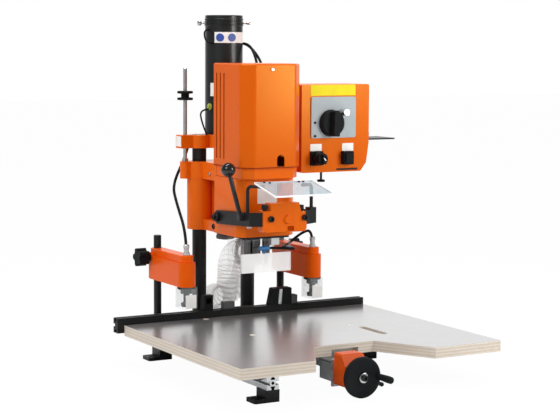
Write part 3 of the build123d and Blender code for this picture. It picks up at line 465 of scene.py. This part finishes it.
def black_tube(name, points, radius, stands_for=None):
    """A black tube or lead along a route, in place of a CAD node where one is named."""
    guide = route(name + "_route", points)
    spots = line_of(guide)
    guide.data.bevel_depth = radius
    guide.data.bevel_resolution = 5
    guide.data.use_fill_caps = True
    bpy.context.view_layer.update()
    made = plain_mesh(guide, name, finishes["black_plastic"])
    bpy.data.objects.remove(guide)
    if stands_for:
        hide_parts(stands_for)
    return made


# Camera at the photograph's viewing angle, principal point in the middle of a 560 by 420 frame
CAMERA_SPOT = (-1.58249, -2.91267, 0.6435)
FOCAL_MM = 102.03
SENSOR_MM = 36.0
YAW = radians(29.867)
PITCH = radians(5.941)
ROLL = radians(0.313)
forward = Vector((sin(YAW) * cos(PITCH), cos(YAW) * cos(PITCH), -sin(PITCH)))
level = Vector((cos(YAW), -sin(YAW), 0.0))
above = level.cross(forward)
right = cos(ROLL) * level + sin(ROLL) * above
upward = cos(ROLL) * above - sin(ROLL) * level
lens = bpy.data.cameras.new("camera")
lens.sensor_width = SENSOR_MM
lens.lens = FOCAL_MM
lens.clip_end = 50.0
camera = bpy.data.objects.new("camera", lens)
bpy.context.scene.collection.objects.link(camera)
turn = Matrix((right, upward, -forward)).transposed().to_4x4()
camera.matrix_world = Matrix.Translation(CAMERA_SPOT) @ turn
bpy.context.scene.camera = camera
bpy.context.scene.view_settings.view_transform = "Standard"


def area_lamp(name, spot, target, size, power, colour=(1, 1, 1)):
    """A rectangular lamp that faces a target and that the camera doesn't see."""
    lamp = bpy.data.lights.new(name, "AREA")
    lamp.shape = "RECTANGLE"
    lamp.size, lamp.size_y = size
    lamp.energy = power
    lamp.color = colour
    made = bpy.data.objects.new(name, lamp)
    made.visible_camera = False
    bpy.context.scene.collection.objects.link(made)
    way = Vector(target) - Vector(spot)
    made.matrix_world = Matrix.Translation(spot) @ way.to_track_quat("-Z", "Y").to_matrix().to_4x4()


WARM_WHITE = (1.0, 0.97, 0.93)
area_lamp("key", (0.60, -1.00, 0.70), (0.08, -0.10, 0.47), (0.18, 0.48), 4.5, WARM_WHITE)
area_lamp("box_fill", (0.86, -0.92, 0.68), (0.18, -0.08, 0.50), (0.22, 0.30), 1.6, WARM_WHITE)
area_lamp("side", (-1.75, -0.80, 1.60), (-0.05, -0.05, 0.33), (1.00, 1.00), 15)
area_lamp("overhead", (0.0, 0.2, 2.6), (0.0, -0.1, 0.2), (2.4, 0.40), 42)


def seen_directly(tree, mirrored=None):
    """1 for what the camera sees, the given share for what gloss sees, 0 for the light on the object."""
    add = adder(tree)
    path = add("ShaderNodeLightPath").outputs

    def maths(operation, first, second):
        return add("ShaderNodeMath", {"operation": operation}, {0: first, 1: second}).outputs[0]

    total = maths("ADD", path["Is Camera Ray"], path["Is Transmission Ray"])
    if mirrored:
        total = maths("ADD", total, maths("MULTIPLY", path["Is Glossy Ray"], mirrored))
    return total


# Studio: white to the camera, dimmer as light, and for gloss bright behind the object and dark elsewhere
world = bpy.data.worlds.new("studio")
bpy.context.scene.world = world
world.use_nodes = True
studio = world.node_tree
sky = studio.nodes["Background"]
add_studio = adder(studio)
toward = add_studio("ShaderNodeTexCoord").outputs["Generated"]
onward = add_studio("ShaderNodeVectorMath", {"operation": "DOT_PRODUCT"},
                    {0: toward, 1: (sin(YAW), cos(YAW), 0.0)})
backdrop = add_studio("ShaderNodeMapRange", None,
                      {"Value": onward.outputs["Value"], "From Min": 0.55, "From Max": 0.92,
                       "To Min": -0.80, "To Max": 1.45})
seen = seen_directly(studio, backdrop.outputs[0])
strength = add_studio("ShaderNodeMapRange", {"clamp": False}, {"Value": seen, "To Min": 0.58, "To Max": 1.0})
studio.links.new(strength.outputs[0], sky.inputs["Strength"])
sky.inputs["Color"].default_value = (1, 1, 1, 1)

floor_finish = Finish("pale_floor", Roughness=0.9, Specular_IOR_Level=0.0)
floor_finish.put("Base Color", (0.86, 0.86, 0.86, 1))
floor_out = floor_finish.tree.nodes["Material Output"].inputs["Surface"]
glow = floor_finish.add("ShaderNodeEmission")
lift = Value(floor_finish, seen_directly(floor_finish.tree)) * 0.97
share = floor_finish.add("ShaderNodeMixShader", None,
                         {0: lift.socket, 1: floor_finish.shader.outputs[0], 2: glow.outputs[0]})
floor_finish.tree.links.new(share.outputs[0], floor_out)
ground = bmesh.new()
bmesh.ops.create_grid(ground, x_segments=1, y_segments=1, size=14.0)
floor = piece_from(ground, "floor", floor_finish.material)


# Hoses and leads, with the routes of their solids
HOSE_R = 0.025
VALLEY_R = 0.0226
RIB_PITCH = 0.009


def hose_ribs():
    """A tree that sweeps a ribbed wall along a curve, thicker at each crest."""
    tree = shape_tree("hose_ribs", {"Pitch": RIB_PITCH, "Crest Radius": HOSE_R, "Valley Radius": VALLEY_R,
                                    "Start": 0.0})
    add = adder(tree)

    def maths(operation, first, second=0.0):
        return add("ShaderNodeMath", {"operation": operation}, {0: first, 1: second}).outputs[0]

    given = add("NodeGroupInput").outputs
    step = maths("DIVIDE", given["Pitch"], 8.0)
    fine = add("GeometryNodeResampleCurve", {"mode": "LENGTH"}, {"Curve": given["Geometry"], "Length": step})
    along = maths("ADD", add("GeometryNodeSplineParameter").outputs["Length"], given["Start"])
    wave = maths("SINE", maths("MULTIPLY", maths("DIVIDE", along, given["Pitch"]), tau))
    lift_share = maths("ADD", maths("MULTIPLY", wave, 0.5), 0.5)
    depth = maths("SUBTRACT", given["Crest Radius"], given["Valley Radius"])
    wall = maths("ADD", given["Valley Radius"], maths("MULTIPLY", lift_share, depth))
    marked = add("GeometryNodeStoreNamedAttribute", {"data_type": "FLOAT", "domain": "POINT"},
                 {"Geometry": fine.outputs[0], "Name": "rib", "Value": lift_share})
    ring = add("GeometryNodeCurvePrimitiveCircle", None, {"Resolution": 40, "Radius": 1.0})
    swept = add("GeometryNodeCurveToMesh", None,
                {"Curve": marked.outputs[0], "Profile Curve": ring.outputs[0], "Scale": wall,
                 "Fill Caps": True})
    whole = add("GeometryNodeRealizeInstances", None, {"Geometry": swept.outputs[0]})
    dressed = add("GeometryNodeSetMaterial", None,
                  {"Geometry": whole.outputs[0], "Material": given["Finish"]})
    add("NodeGroupOutput", None, {"Geometry": dressed.outputs[0]})
    return tree


HOSE_X = -0.006
HOOD_OUTLET_Z = 0.215
RISER_X = 0.094
RISER_Y = 0.150
HOSE_FLOOR = 0.098
HOSE_JOIN = (0.0695, RISER_Y, 0.1141)
hose_points = [(HOSE_X, -0.0235, HOOD_OUTLET_Z), (HOSE_X, 0.052, HOOD_OUTLET_Z), (HOSE_X, 0.052, HOSE_FLOOR),
               (HOSE_X, RISER_Y, HOSE_FLOOR), (0.0590, RISER_Y, HOSE_FLOOR), HOSE_JOIN]
riser_points = [HOSE_JOIN, (RISER_X, RISER_Y, 0.1516), (RISER_X, RISER_Y, 0.455),
                (0.0543, 0.1230, 0.503)]
ribs_tree = hose_ribs()


def ribbed(name, points, start):
    """A ribbed hose along a route, in place of the CAD hose, with its length.

    Start is the length of hose before it, which keeps the ribs in step.
    """
    guide = route(name + "_route", points)
    spots = line_of(guide)
    made = shaped(guide, ribs_tree, name, {"Start": start, "Finish": finishes["hose_plastic"]})
    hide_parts("extraction_hose")
    return made, length_of(spots)


extraction_hose, hose_length = ribbed("ribbed_extraction_hose", hose_points, 0.0)
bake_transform(extraction_hose)

# The riser stands still, so that the hose stays on the pipe's branch when the head goes down
hose_riser = ribbed("ribbed_hose_riser", riser_points, hose_length)[0]
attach(hose_riser, "base")

TUBE_R = 0.0028
LEFT_TUBE_R = 0.003
EARTH_R = 0.0018
TUBE_END_Z = 0.218
left_line = [(HOLD_LEFT_X, DRILL_Y, TUBE_END_Z), (HOLD_LEFT_X, DRILL_Y, 0.262), (-0.126, 0.060, 0.316),
             (-0.106, 0.118, 0.346), (-0.072, 0.130, 0.400), (-COLUMN_X, 0.130, 0.440),
             (-COLUMN_X, 0.111, 0.440)]
left_tube = black_tube("left_air_tube", left_line, LEFT_TUBE_R, "left_air_hose")
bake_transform(left_tube)

CORNER_X = HOOD_HALF + 0.0037
CORNER_Z = 0.225
TEE_Y = HOOD_FRONT + 0.001
TEE_Z = 0.229
tee_line = [(0.006, TEE_Y, TEE_Z), (0.024, TEE_Y, TEE_Z), (CORNER_X, TEE_Y - 0.014, CORNER_Z),
            (CORNER_X, -0.098, CORNER_Z)]
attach(black_tube("tee_link_tube", tee_line, TUBE_R, "right_air_hose"), "head")


def pipe_spot(way, z, out=0.0):
    """A place on the pipe at an angle and a height, or so far out from it."""
    reach = PIPE_R + out
    return reach * cos(radians(way)), COLUMN_Y + reach * sin(radians(way)), z


LEAD_TOP_Z = 0.646
LEAD_END_Z = 0.570
for number, (x, way) in enumerate(((0.044, -22), (0.056, -6))):
    lead_line = [pipe_spot(way, LEAD_TOP_Z), pipe_spot(way, LEAD_TOP_Z, 0.016), (x + 0.002, 0.022, 0.606),
                 (x, 0.014, LEAD_END_Z), (x, COVER_BACK, LEAD_END_Z)]
    lead = black_tube(f"motor_lead_{number + 1}", lead_line, TUBE_R, "motor_leads")
    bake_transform(lead)

earth_lines = {
    "upper_earth_lead": [pipe_spot(186, 0.674), pipe_spot(186, 0.674, 0.012), pipe_spot(206, 0.646, 0.024),
                         pipe_spot(206, 0.646)],
    "lower_earth_lead": [pipe_spot(190, 0.507), pipe_spot(190, 0.507, 0.024), (-0.064, 0.064, 0.480),
                         (-0.052, 0.064, 0.454)],
}
for name, earth_line in earth_lines.items():
    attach(black_tube(name, earth_line, EARTH_R, "earth_leads"), "base")

right_line = [(CORNER_X, -0.078, CORNER_Z), (CORNER_X, -0.058, CORNER_Z), (0.084, -0.026, 0.216),
              (0.103, -0.033, 0.233)]
right_tube = black_tube("right_air_tube", right_line, TUBE_R, "right_air_hose")
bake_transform(right_tube)
arm_line = [right_line[-1], (0.122, -0.040, 0.250), (HOLD_RIGHT_X, DRILL_Y, 0.254),
            (HOLD_RIGHT_X, DRILL_Y, TUBE_END_Z)]
arm_tube = black_tube("right_arm_tube", arm_line, TUBE_R)
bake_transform(arm_tube)


# Small rigid pieces

def ringed(name, rings, material):
    """A closed skin over rings of equally many points, capped at both ends."""
    bm = bmesh.new()
    loops = [[bm.verts.new(spot) for spot in ring] for ring in rings]
    count = len(rings[0])
    for low, high in zip(loops, loops[1:]):
        for n in range(count):
            bm.faces.new((low[n], low[(n + 1) % count], high[(n + 1) % count], high[n]))
    bm.faces.new(loops[0])
    bm.faces.new(loops[-1])
    return piece_from(bm, name, material)


def rounded_outline(width, height, corner):
    """A rectangle with round corners about its middle, as points."""
    spots = []
    for n in range(4):
        cx = (width / 2 - corner) * (1, -1, -1, 1)[n]
        cy = (height / 2 - corner) * (1, 1, -1, -1)[n]
        for step in range(6):
            way = radians(90 * n + 18 * step)
            spots.append((cx + corner * cos(way), cy + corner * sin(way)))
    return spots


STICKER_THICK = 0.0006
STICKER_SUNK = 0.0002
STICKER_CORNER = 0.0015


def plate(name, body, centre, across, up, size, material, thick=STICKER_THICK, corner=STICKER_CORNER):
    """A flat plate or sticker with rounded corners and an eased edge, standing out of a face."""
    across, up, centre = Vector(across), Vector(up), Vector(centre)
    out = across.cross(up)
    ease = min(thick * 0.4, corner * 0.5)
    rings = []
    for trim, lift in ((0, -STICKER_SUNK), (0, thick - ease), (ease, thick)):
        outline = rounded_outline(size[0] - 2 * trim, size[1] - 2 * trim, corner - trim * 0.5)
        rings.append([centre + across * u + up * v + out * lift for u, v in outline])
    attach(ringed(name, rings, material), body)


FRONT = ((1, 0, 0), (0, 0, 1))
LEFT = ((0, -1, 0), (0, 0, 1))
TOP = ((1, 0, 0), (0, 1, 0))
TURNED_SIDES = 36


def turned(name, body, foot, way, profile, material):
    """A turned piece: (radius, height) pairs spun about a line that starts at foot."""
    way = Vector(way).normalized()
    side = way.orthogonal().normalized()
    other = way.cross(side)
    foot = Vector(foot)
    angles = [tau * n / TURNED_SIDES for n in range(TURNED_SIDES)]
    rings = []
    for r, h in profile:
        rings.append([foot + way * h + side * (r * cos(a)) + other * (r * sin(a)) for a in angles])
    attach(ringed(name, rings, material), body)


def on_pipe(name, way, z, profile, material):
    """A turned piece that stands out of the pipe at an angle and a height."""
    out = Vector((cos(radians(way)), sin(radians(way)), 0))
    turned(name, "base", Vector((0, COLUMN_Y, z)) + out * (PIPE_R - SUNK), out, profile, material)


def wrapped(name, turn, heights, material):
    """A sticker wrapped round the pipe between two angles and two heights."""
    bm = bmesh.new()
    steps = 28
    walls = []
    for r in (PIPE_R + STICKER_THICK, PIPE_R - STICKER_SUNK):
        wall = []
        for z in heights:
            row = []
            for n in range(steps + 1):
                a = radians(turn[0] + (turn[1] - turn[0]) * n / steps)
                row.append(bm.verts.new((r * cos(a), COLUMN_Y + r * sin(a), z)))
            wall.append(row)
        walls.append(wall)
    for low, high in walls:
        for n in range(steps):
            bm.faces.new((low[n], low[n + 1], high[n + 1], high[n]))
    (outer_low, outer_high), (inner_low, inner_high) = walls
    for first, second in ((outer_low, inner_low), (outer_high, inner_high)):
        for n in range(steps):
            bm.faces.new((first[n], first[n + 1], second[n + 1], second[n]))
    for n in (0, steps):
        bm.faces.new((outer_low[n], outer_high[n], inner_high[n], inner_low[n]))
    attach(piece_from(bm, name, material), "base")


# Fasteners, placed by a node tree on marked points

def screw_head():
    """A cap screw of unit radius with an eased rim and a hexagon socket."""
    sides = 24
    angles = [tau * n / sides for n in range(sides)]

    def hexagon(angle):
        return 0.56 * cos(pi / 6) / cos((angle + pi / 6) % (pi / 3) - pi / 6)

    levels = [(1.0, -0.1), (1.0, 0.75), (0.86, 0.92), (None, 0.92), (None, 0.35)]
    rings = []
    for r, h in levels:
        rings.append([((r or hexagon(a)) * cos(a), (r or hexagon(a)) * sin(a), h) for a in angles])
    return ringed("screw_head", rings, finishes["steel"])


def fastener_tree(head):
    """A tree that stands one screw on every point, turned to its facing and scaled to its size."""
    tree = shape_tree("fasteners", {"Head Radius": 0.004})
    add = adder(tree)
    given = add("NodeGroupInput").outputs
    facing = add("GeometryNodeInputNamedAttribute", {"data_type": "FLOAT_VECTOR"}, {"Name": "facing"})
    turned_to = add("FunctionNodeAlignRotationToVector", {"axis": "Z"}, {"Vector": facing.outputs[0]})
    info = add("GeometryNodeObjectInfo", None, {"Object": head})
    set_on = add("GeometryNodeInstanceOnPoints", None,
                 {"Points": given["Geometry"], "Instance": info.outputs["Geometry"],
                  "Rotation": turned_to.outputs[0], "Scale": given["Head Radius"]})
    whole = add("GeometryNodeRealizeInstances", None, {"Geometry": set_on.outputs[0]})
    dressed = add("GeometryNodeSetMaterial", None,
                  {"Geometry": whole.outputs[0], "Material": given["Finish"]})
    add("NodeGroupOutput", None, {"Geometry": dressed.outputs[0]})
    return tree


head_source = screw_head()
screws_tree = fastener_tree(head_source)


def fasteners(name, body, radius, places, slot):
    """Screws of one size on one body: places are (spot, facing) pairs."""
    mesh = bpy.data.meshes.new(name + "_spots")
    mesh.from_pydata([spot for spot, facing in places], [], [])
    marks = mesh.attributes.new("facing", "FLOAT_VECTOR", "POINT")
    for mark, (spot, facing) in zip(marks.data, places):
        mark.vector = facing
    spots = bpy.data.objects.new(name + "_spots", mesh)
    bpy.context.scene.collection.objects.link(spots)
    made = shaped(spots, screws_tree, name, {"Head Radius": radius, "Finish": finishes[slot]})
    made.data.polygons.foreach_set("use_smooth", [False] * len(made.data.polygons))
    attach(made, body)


bright = finishes["steel"]
dark = finishes["black_steel"]
left, right_way, back, ahead, rise = (-1, 0, 0), (1, 0, 0), (0, 1, 0), (0, -1, 0), (0, 0, 1)
fasteners("cover_screws", "head", 0.0032,
          [((-0.0071, COVER_FRONT, COVER_TOP - 0.012), ahead),
           ((COVER_SIDE, -0.060, COVER_TOP - 0.010), right_way),
           ((-0.045, COVER_BACK, COVER_TOP - 0.014), back),
           ((0.020, COVER_BACK, COVER_TOP - 0.014), back)], "steel")
fasteners("flange_screws", "head", 0.0034,
          [((-FLANGE_SIDE, 0.024, 0.3745), left), ((-FLANGE_SIDE, -0.033, 0.3835), left),
           ((FLANGE_SIDE, 0.040, 0.3745), right_way)], "steel")
fasteners("gearbox_screws", "head", 0.0060,
          [((-GEARBOX_SIDE, 0.0065, 0.2660), left), ((GEARBOX_SIDE, 0.0065, 0.2660), right_way)],
          "black_steel")
fasteners("pivot_sockets", "head", 0.0055,
          [((-PIVOT_X, PIVOT_Y, PIVOT_Z), left), ((PIVOT_X, PIVOT_Y, PIVOT_Z), right_way)],
          "black_steel")
fasteners("box_lid_screws", "head", 0.0030,
          [((x, BOX_BACK, z), back)
           for x, z in ((0.108, 0.550), (0.250, 0.550), (0.108, 0.390), (0.226, 0.390))], "steel")
fasteners("switch_plate_screws", "head", 0.0026,
          [((0.1265, SWITCH_FRONT, z), ahead) for z in (0.4545, 0.4826)], "black_steel")
fasteners("ram_block_bolts", "ram", 0.0062,
          [((x, RAM_FRONT, 0.2980), ahead) for x in (-0.0340, 0.0440)], "black_steel")
fasteners("visor_screws", "ram", 0.0026,
          [((x, y, VISOR_BACK[1] + (y - VISOR_BACK[0]) * VISOR_SLOPE), rise)
           for x, y in ((-0.047, -0.176), (-0.037, -0.180), (0.030, -0.180), (0.040, -0.180))],
          "black_steel")
fasteners("wheel_bolt", "handwheel", 0.0062, [((WHEEL_X, -0.5238, WHEEL_Z), ahead)], "black_steel")
bpy.data.objects.remove(head_source)
turned("wheel_washer", "handwheel", (WHEEL_X, -0.5228, WHEEL_Z), ahead,
       [(0.0064, 0), (0.0092, 0), (0.0092, 0.0010), (0.0086, 0.0014), (0.0064, 0.0014)], bright)

# Stickers, all blank
plate("yellow_strip", "head", (0.1724, BOX_FRONT, 0.5497), *FRONT, (0.110, 0.0225), sticker_yellow)
plate("selector_label", "head", (0.1310, BOX_FRONT, 0.4305), *FRONT, (0.028, 0.0150), sticker_white)
plate("button_label", "head", (0.2094, BOX_FRONT, 0.4297), *FRONT, (0.028, 0.0166), sticker_white)
plate("selector_line", "selector_knob", (0.1315, -0.1144, 0.4080), (0.77, 0, 0.64), (-0.64, 0, 0.77),
      (0.0022, 0.0075), sticker_white, corner=0.0006)
plate("gearbox_label", "head", (-0.0026, GEARBOX_FRONT, 0.3440), *FRONT, (0.0456, 0.0440), sticker_white)
plate("yoke_label", "base", (YOKE_LEFT, COLUMN_Y, 0.4405), *LEFT, (0.0220, 0.0215), sticker_white)
plate("gearbox_patch", "head", (-0.0440, GEARBOX_FRONT, 0.2755), *FRONT, (0.0120, 0.0058), sticker_white)

# Details of the box, the hold-downs and the pipe, their labels blank too
# A near-black plate on the box front: painted shade of a slit.
plate("box_slit", "head", (0.2080, BOX_FRONT, 0.3832), *FRONT, (0.052, 0.0042), opening_shade_paint, corner=0.0008)
for side, x in (("left", HOLD_LEFT_X), ("right", HOLD_RIGHT_X)):
    body = side + "_hold_down"
    plate(side + "_guard_front_label", body, (x, GUARD_FRONT, 0.1255), *FRONT, (0.024, 0.0270),
          sticker_white)
    turned(side + "_guard_collar", body, (x, DRILL_Y, 0.1490), rise,
           [(0.0135, 0), (0.0172, 0), (0.0184, 0.0010), (0.0184, 0.0044), (0.0172, 0.0051),
            (0.0135, 0.0051)], finishes["black_plastic"])
    turned(side + "_air_fitting", body, (x, DRILL_Y, ARM_TOP - FITTING_SUNK), rise,
           [(0.0035, 0), (0.0068, 0), (0.0068, 0.0060), (0.0052, 0.0068), (0.0052, 0.0140), (0.0060, 0.0148),
            (0.0060, 0.0210), (0.0048, 0.0222), (0.0031, 0.0222)], bright)
wrapped("pipe_strip", (213, 335), (0.6470, 0.6695), sticker_white)
wrapped("pipe_side_label", (198, 211), (0.5350, 0.5630), sticker_white)
for number, way in enumerate((230.6, 266.9)):
    on_pipe(f"pipe_disc_{number + 1}", way, 0.6582, [(0.0085, 0), (0.0085, 0.0016), (0.0080, 0.0019)],
            sticker_blue)
for side, way, thick in (("left", 152, 0.0058), ("right", 332, 0.0032)):
    on_pipe(side + "_pipe_thumbscrew", way, 0.6885,
            [(thick * 0.8, 0), (thick * 0.8, 0.0016), (0.0018, 0.0022), (0.0018, 0.0078),
             (thick * 0.85, 0.0086), (thick, 0.0100), (thick, 0.0146), (thick * 0.7, 0.0166)], bright)
on_pipe("earth_terminal", 194, 0.5127,
        [(0.0070, 0), (0.0070, 0.0018), (0.0044, 0.0024), (0.0044, 0.0048), (0.0034, 0.0056)],
        terminal_green)
turned("switch_lock", "head", (SWITCH_LOCK_X, -0.0809, SWITCH_LOCK_Z), ahead,
       [(0.0074, 0), (0.0074, 0.0160), (0.0068, 0.0168), (0.0050, 0.0168), (0.0050, 0.0160)],
       finishes["aluminium"])
turned("switch_lock_face", "head", (SWITCH_LOCK_X, -0.0967, SWITCH_LOCK_Z), ahead,
       [(0.0050, 0), (0.0050, 0.0010), (0.0014, 0.0012), (0.0014, 0.0004)], sticker_white)

# Details of the fence rail and the right stop
# Near-black plates on the rail's front and top: painted shade where the rail is open.
plate("rail_insert", "table", (RAIL_OPENING_X, RAIL_FRONT, RAIL_MIDDLE.z), *FRONT,
      (RAIL_OPENING_WIDTH, 0.0290), opening_shade_paint, thick=0.0008)
plate("rail_insert_top", "table", (RAIL_OPENING_X, RAIL_MIDDLE.y, RAIL_TOP), *TOP,
      (RAIL_OPENING_WIDTH, 0.0200), opening_shade_paint, thick=0.0008)
plate("rail_block", "table", (-0.0430, -0.015, RAIL_TOP), *TOP, (0.0280, 0.0120), dark_grey,
      thick=0.0145, corner=0.0020)
plate("stop_band", "right_stop", (0.0760, STOP_FRONT, 0.1130), (0.995, 0, -0.10), (0.10, 0, 0.995),
      (0.0075, 0.0320), finishes["aluminium"], thick=0.0012, corner=0.0006)
plate("stop_step", "right_stop", (0.1108, STOP_FRONT, 0.1046), *FRONT, (0.0136, 0.0172), dark_grey,
      thick=0.0014, corner=0.0010)

# Details of the head, the press arm and the table
plate("chip_valve", "head", (0.0210, -0.0965, 0.2500), (1, 0, 0), (0, -1, 0), (0.0200, 0.0110),
      finishes["aluminium"], thick=0.0160, corner=0.0018)
turned("cylinder_cap", "head", (-0.0440, -0.0050, 0.2545), (0, 0, -1),
       [(0.0180, 0), (0.0180, 0.0060), (0.0192, 0.0070), (0.0192, 0.0120), (0.0180, 0.0132),
        (0.0090, 0.0132), (0.0080, 0.0150)], dark_grey)
for side, x, z in (("left", -0.0415, 0.3140), ("right", 0.0420, 0.3100)):
    turned(side + "_shoulder_screw", "ram", (x, -0.1675, z - 0.0003), rise,
           [(0.0040, 0), (0.0040, 0.0030), (0.0066, 0.0034), (0.0066, 0.0118), (0.0058, 0.0128),
            (0.0034, 0.0128), (0.0034, 0.0090)], dark)
# A dark grey plate on the bearing's top: painted shade where the table plate shadows the bearing.
plate("bearing_pad", "table", (WHEEL_X, -0.4283, 0.0560), *TOP, (0.0440, 0.0480), dark_grey,
      thick=0.0040, corner=0.0020)
# A thin dark red strip round the head under the motor cover: painted shadow of the cover's edge on the
# flange.
shadow_strip_side = COVER_SIDE - SUNK
shadow_strip_front = COVER_FRONT + SUNK
shadow_strip_half = [(shadow_strip_side, COVER_BACK), (shadow_strip_side, shadow_strip_front + SHADOW_STRIP_CUT),
               (shadow_strip_side - SHADOW_STRIP_CUT, shadow_strip_front)]
shadow_strip_outline = shadow_strip_half + [(-x, y) for x, y in reversed(shadow_strip_half)]
shadow_strip_rings = [[(x, y, z) for x, y in shadow_strip_outline] for z in (0.3954, 0.3976)]
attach(ringed("cover_gasket", shadow_strip_rings, cover_shadow_paint), "head")
for number, (x, y) in enumerate(((0.120, -0.238), (-0.109, -0.242), (-0.107, -0.040))):
    turned(f"plate_plug_{number + 1}", "table", (x, y, PLATE_TOP - SUNK), rise,
           [(0.0060, 0), (0.0060, 0.0006), (0.0052, 0.0009), (0.0022, 0.0009), (0.0020, 0.0005)], pale_plug)
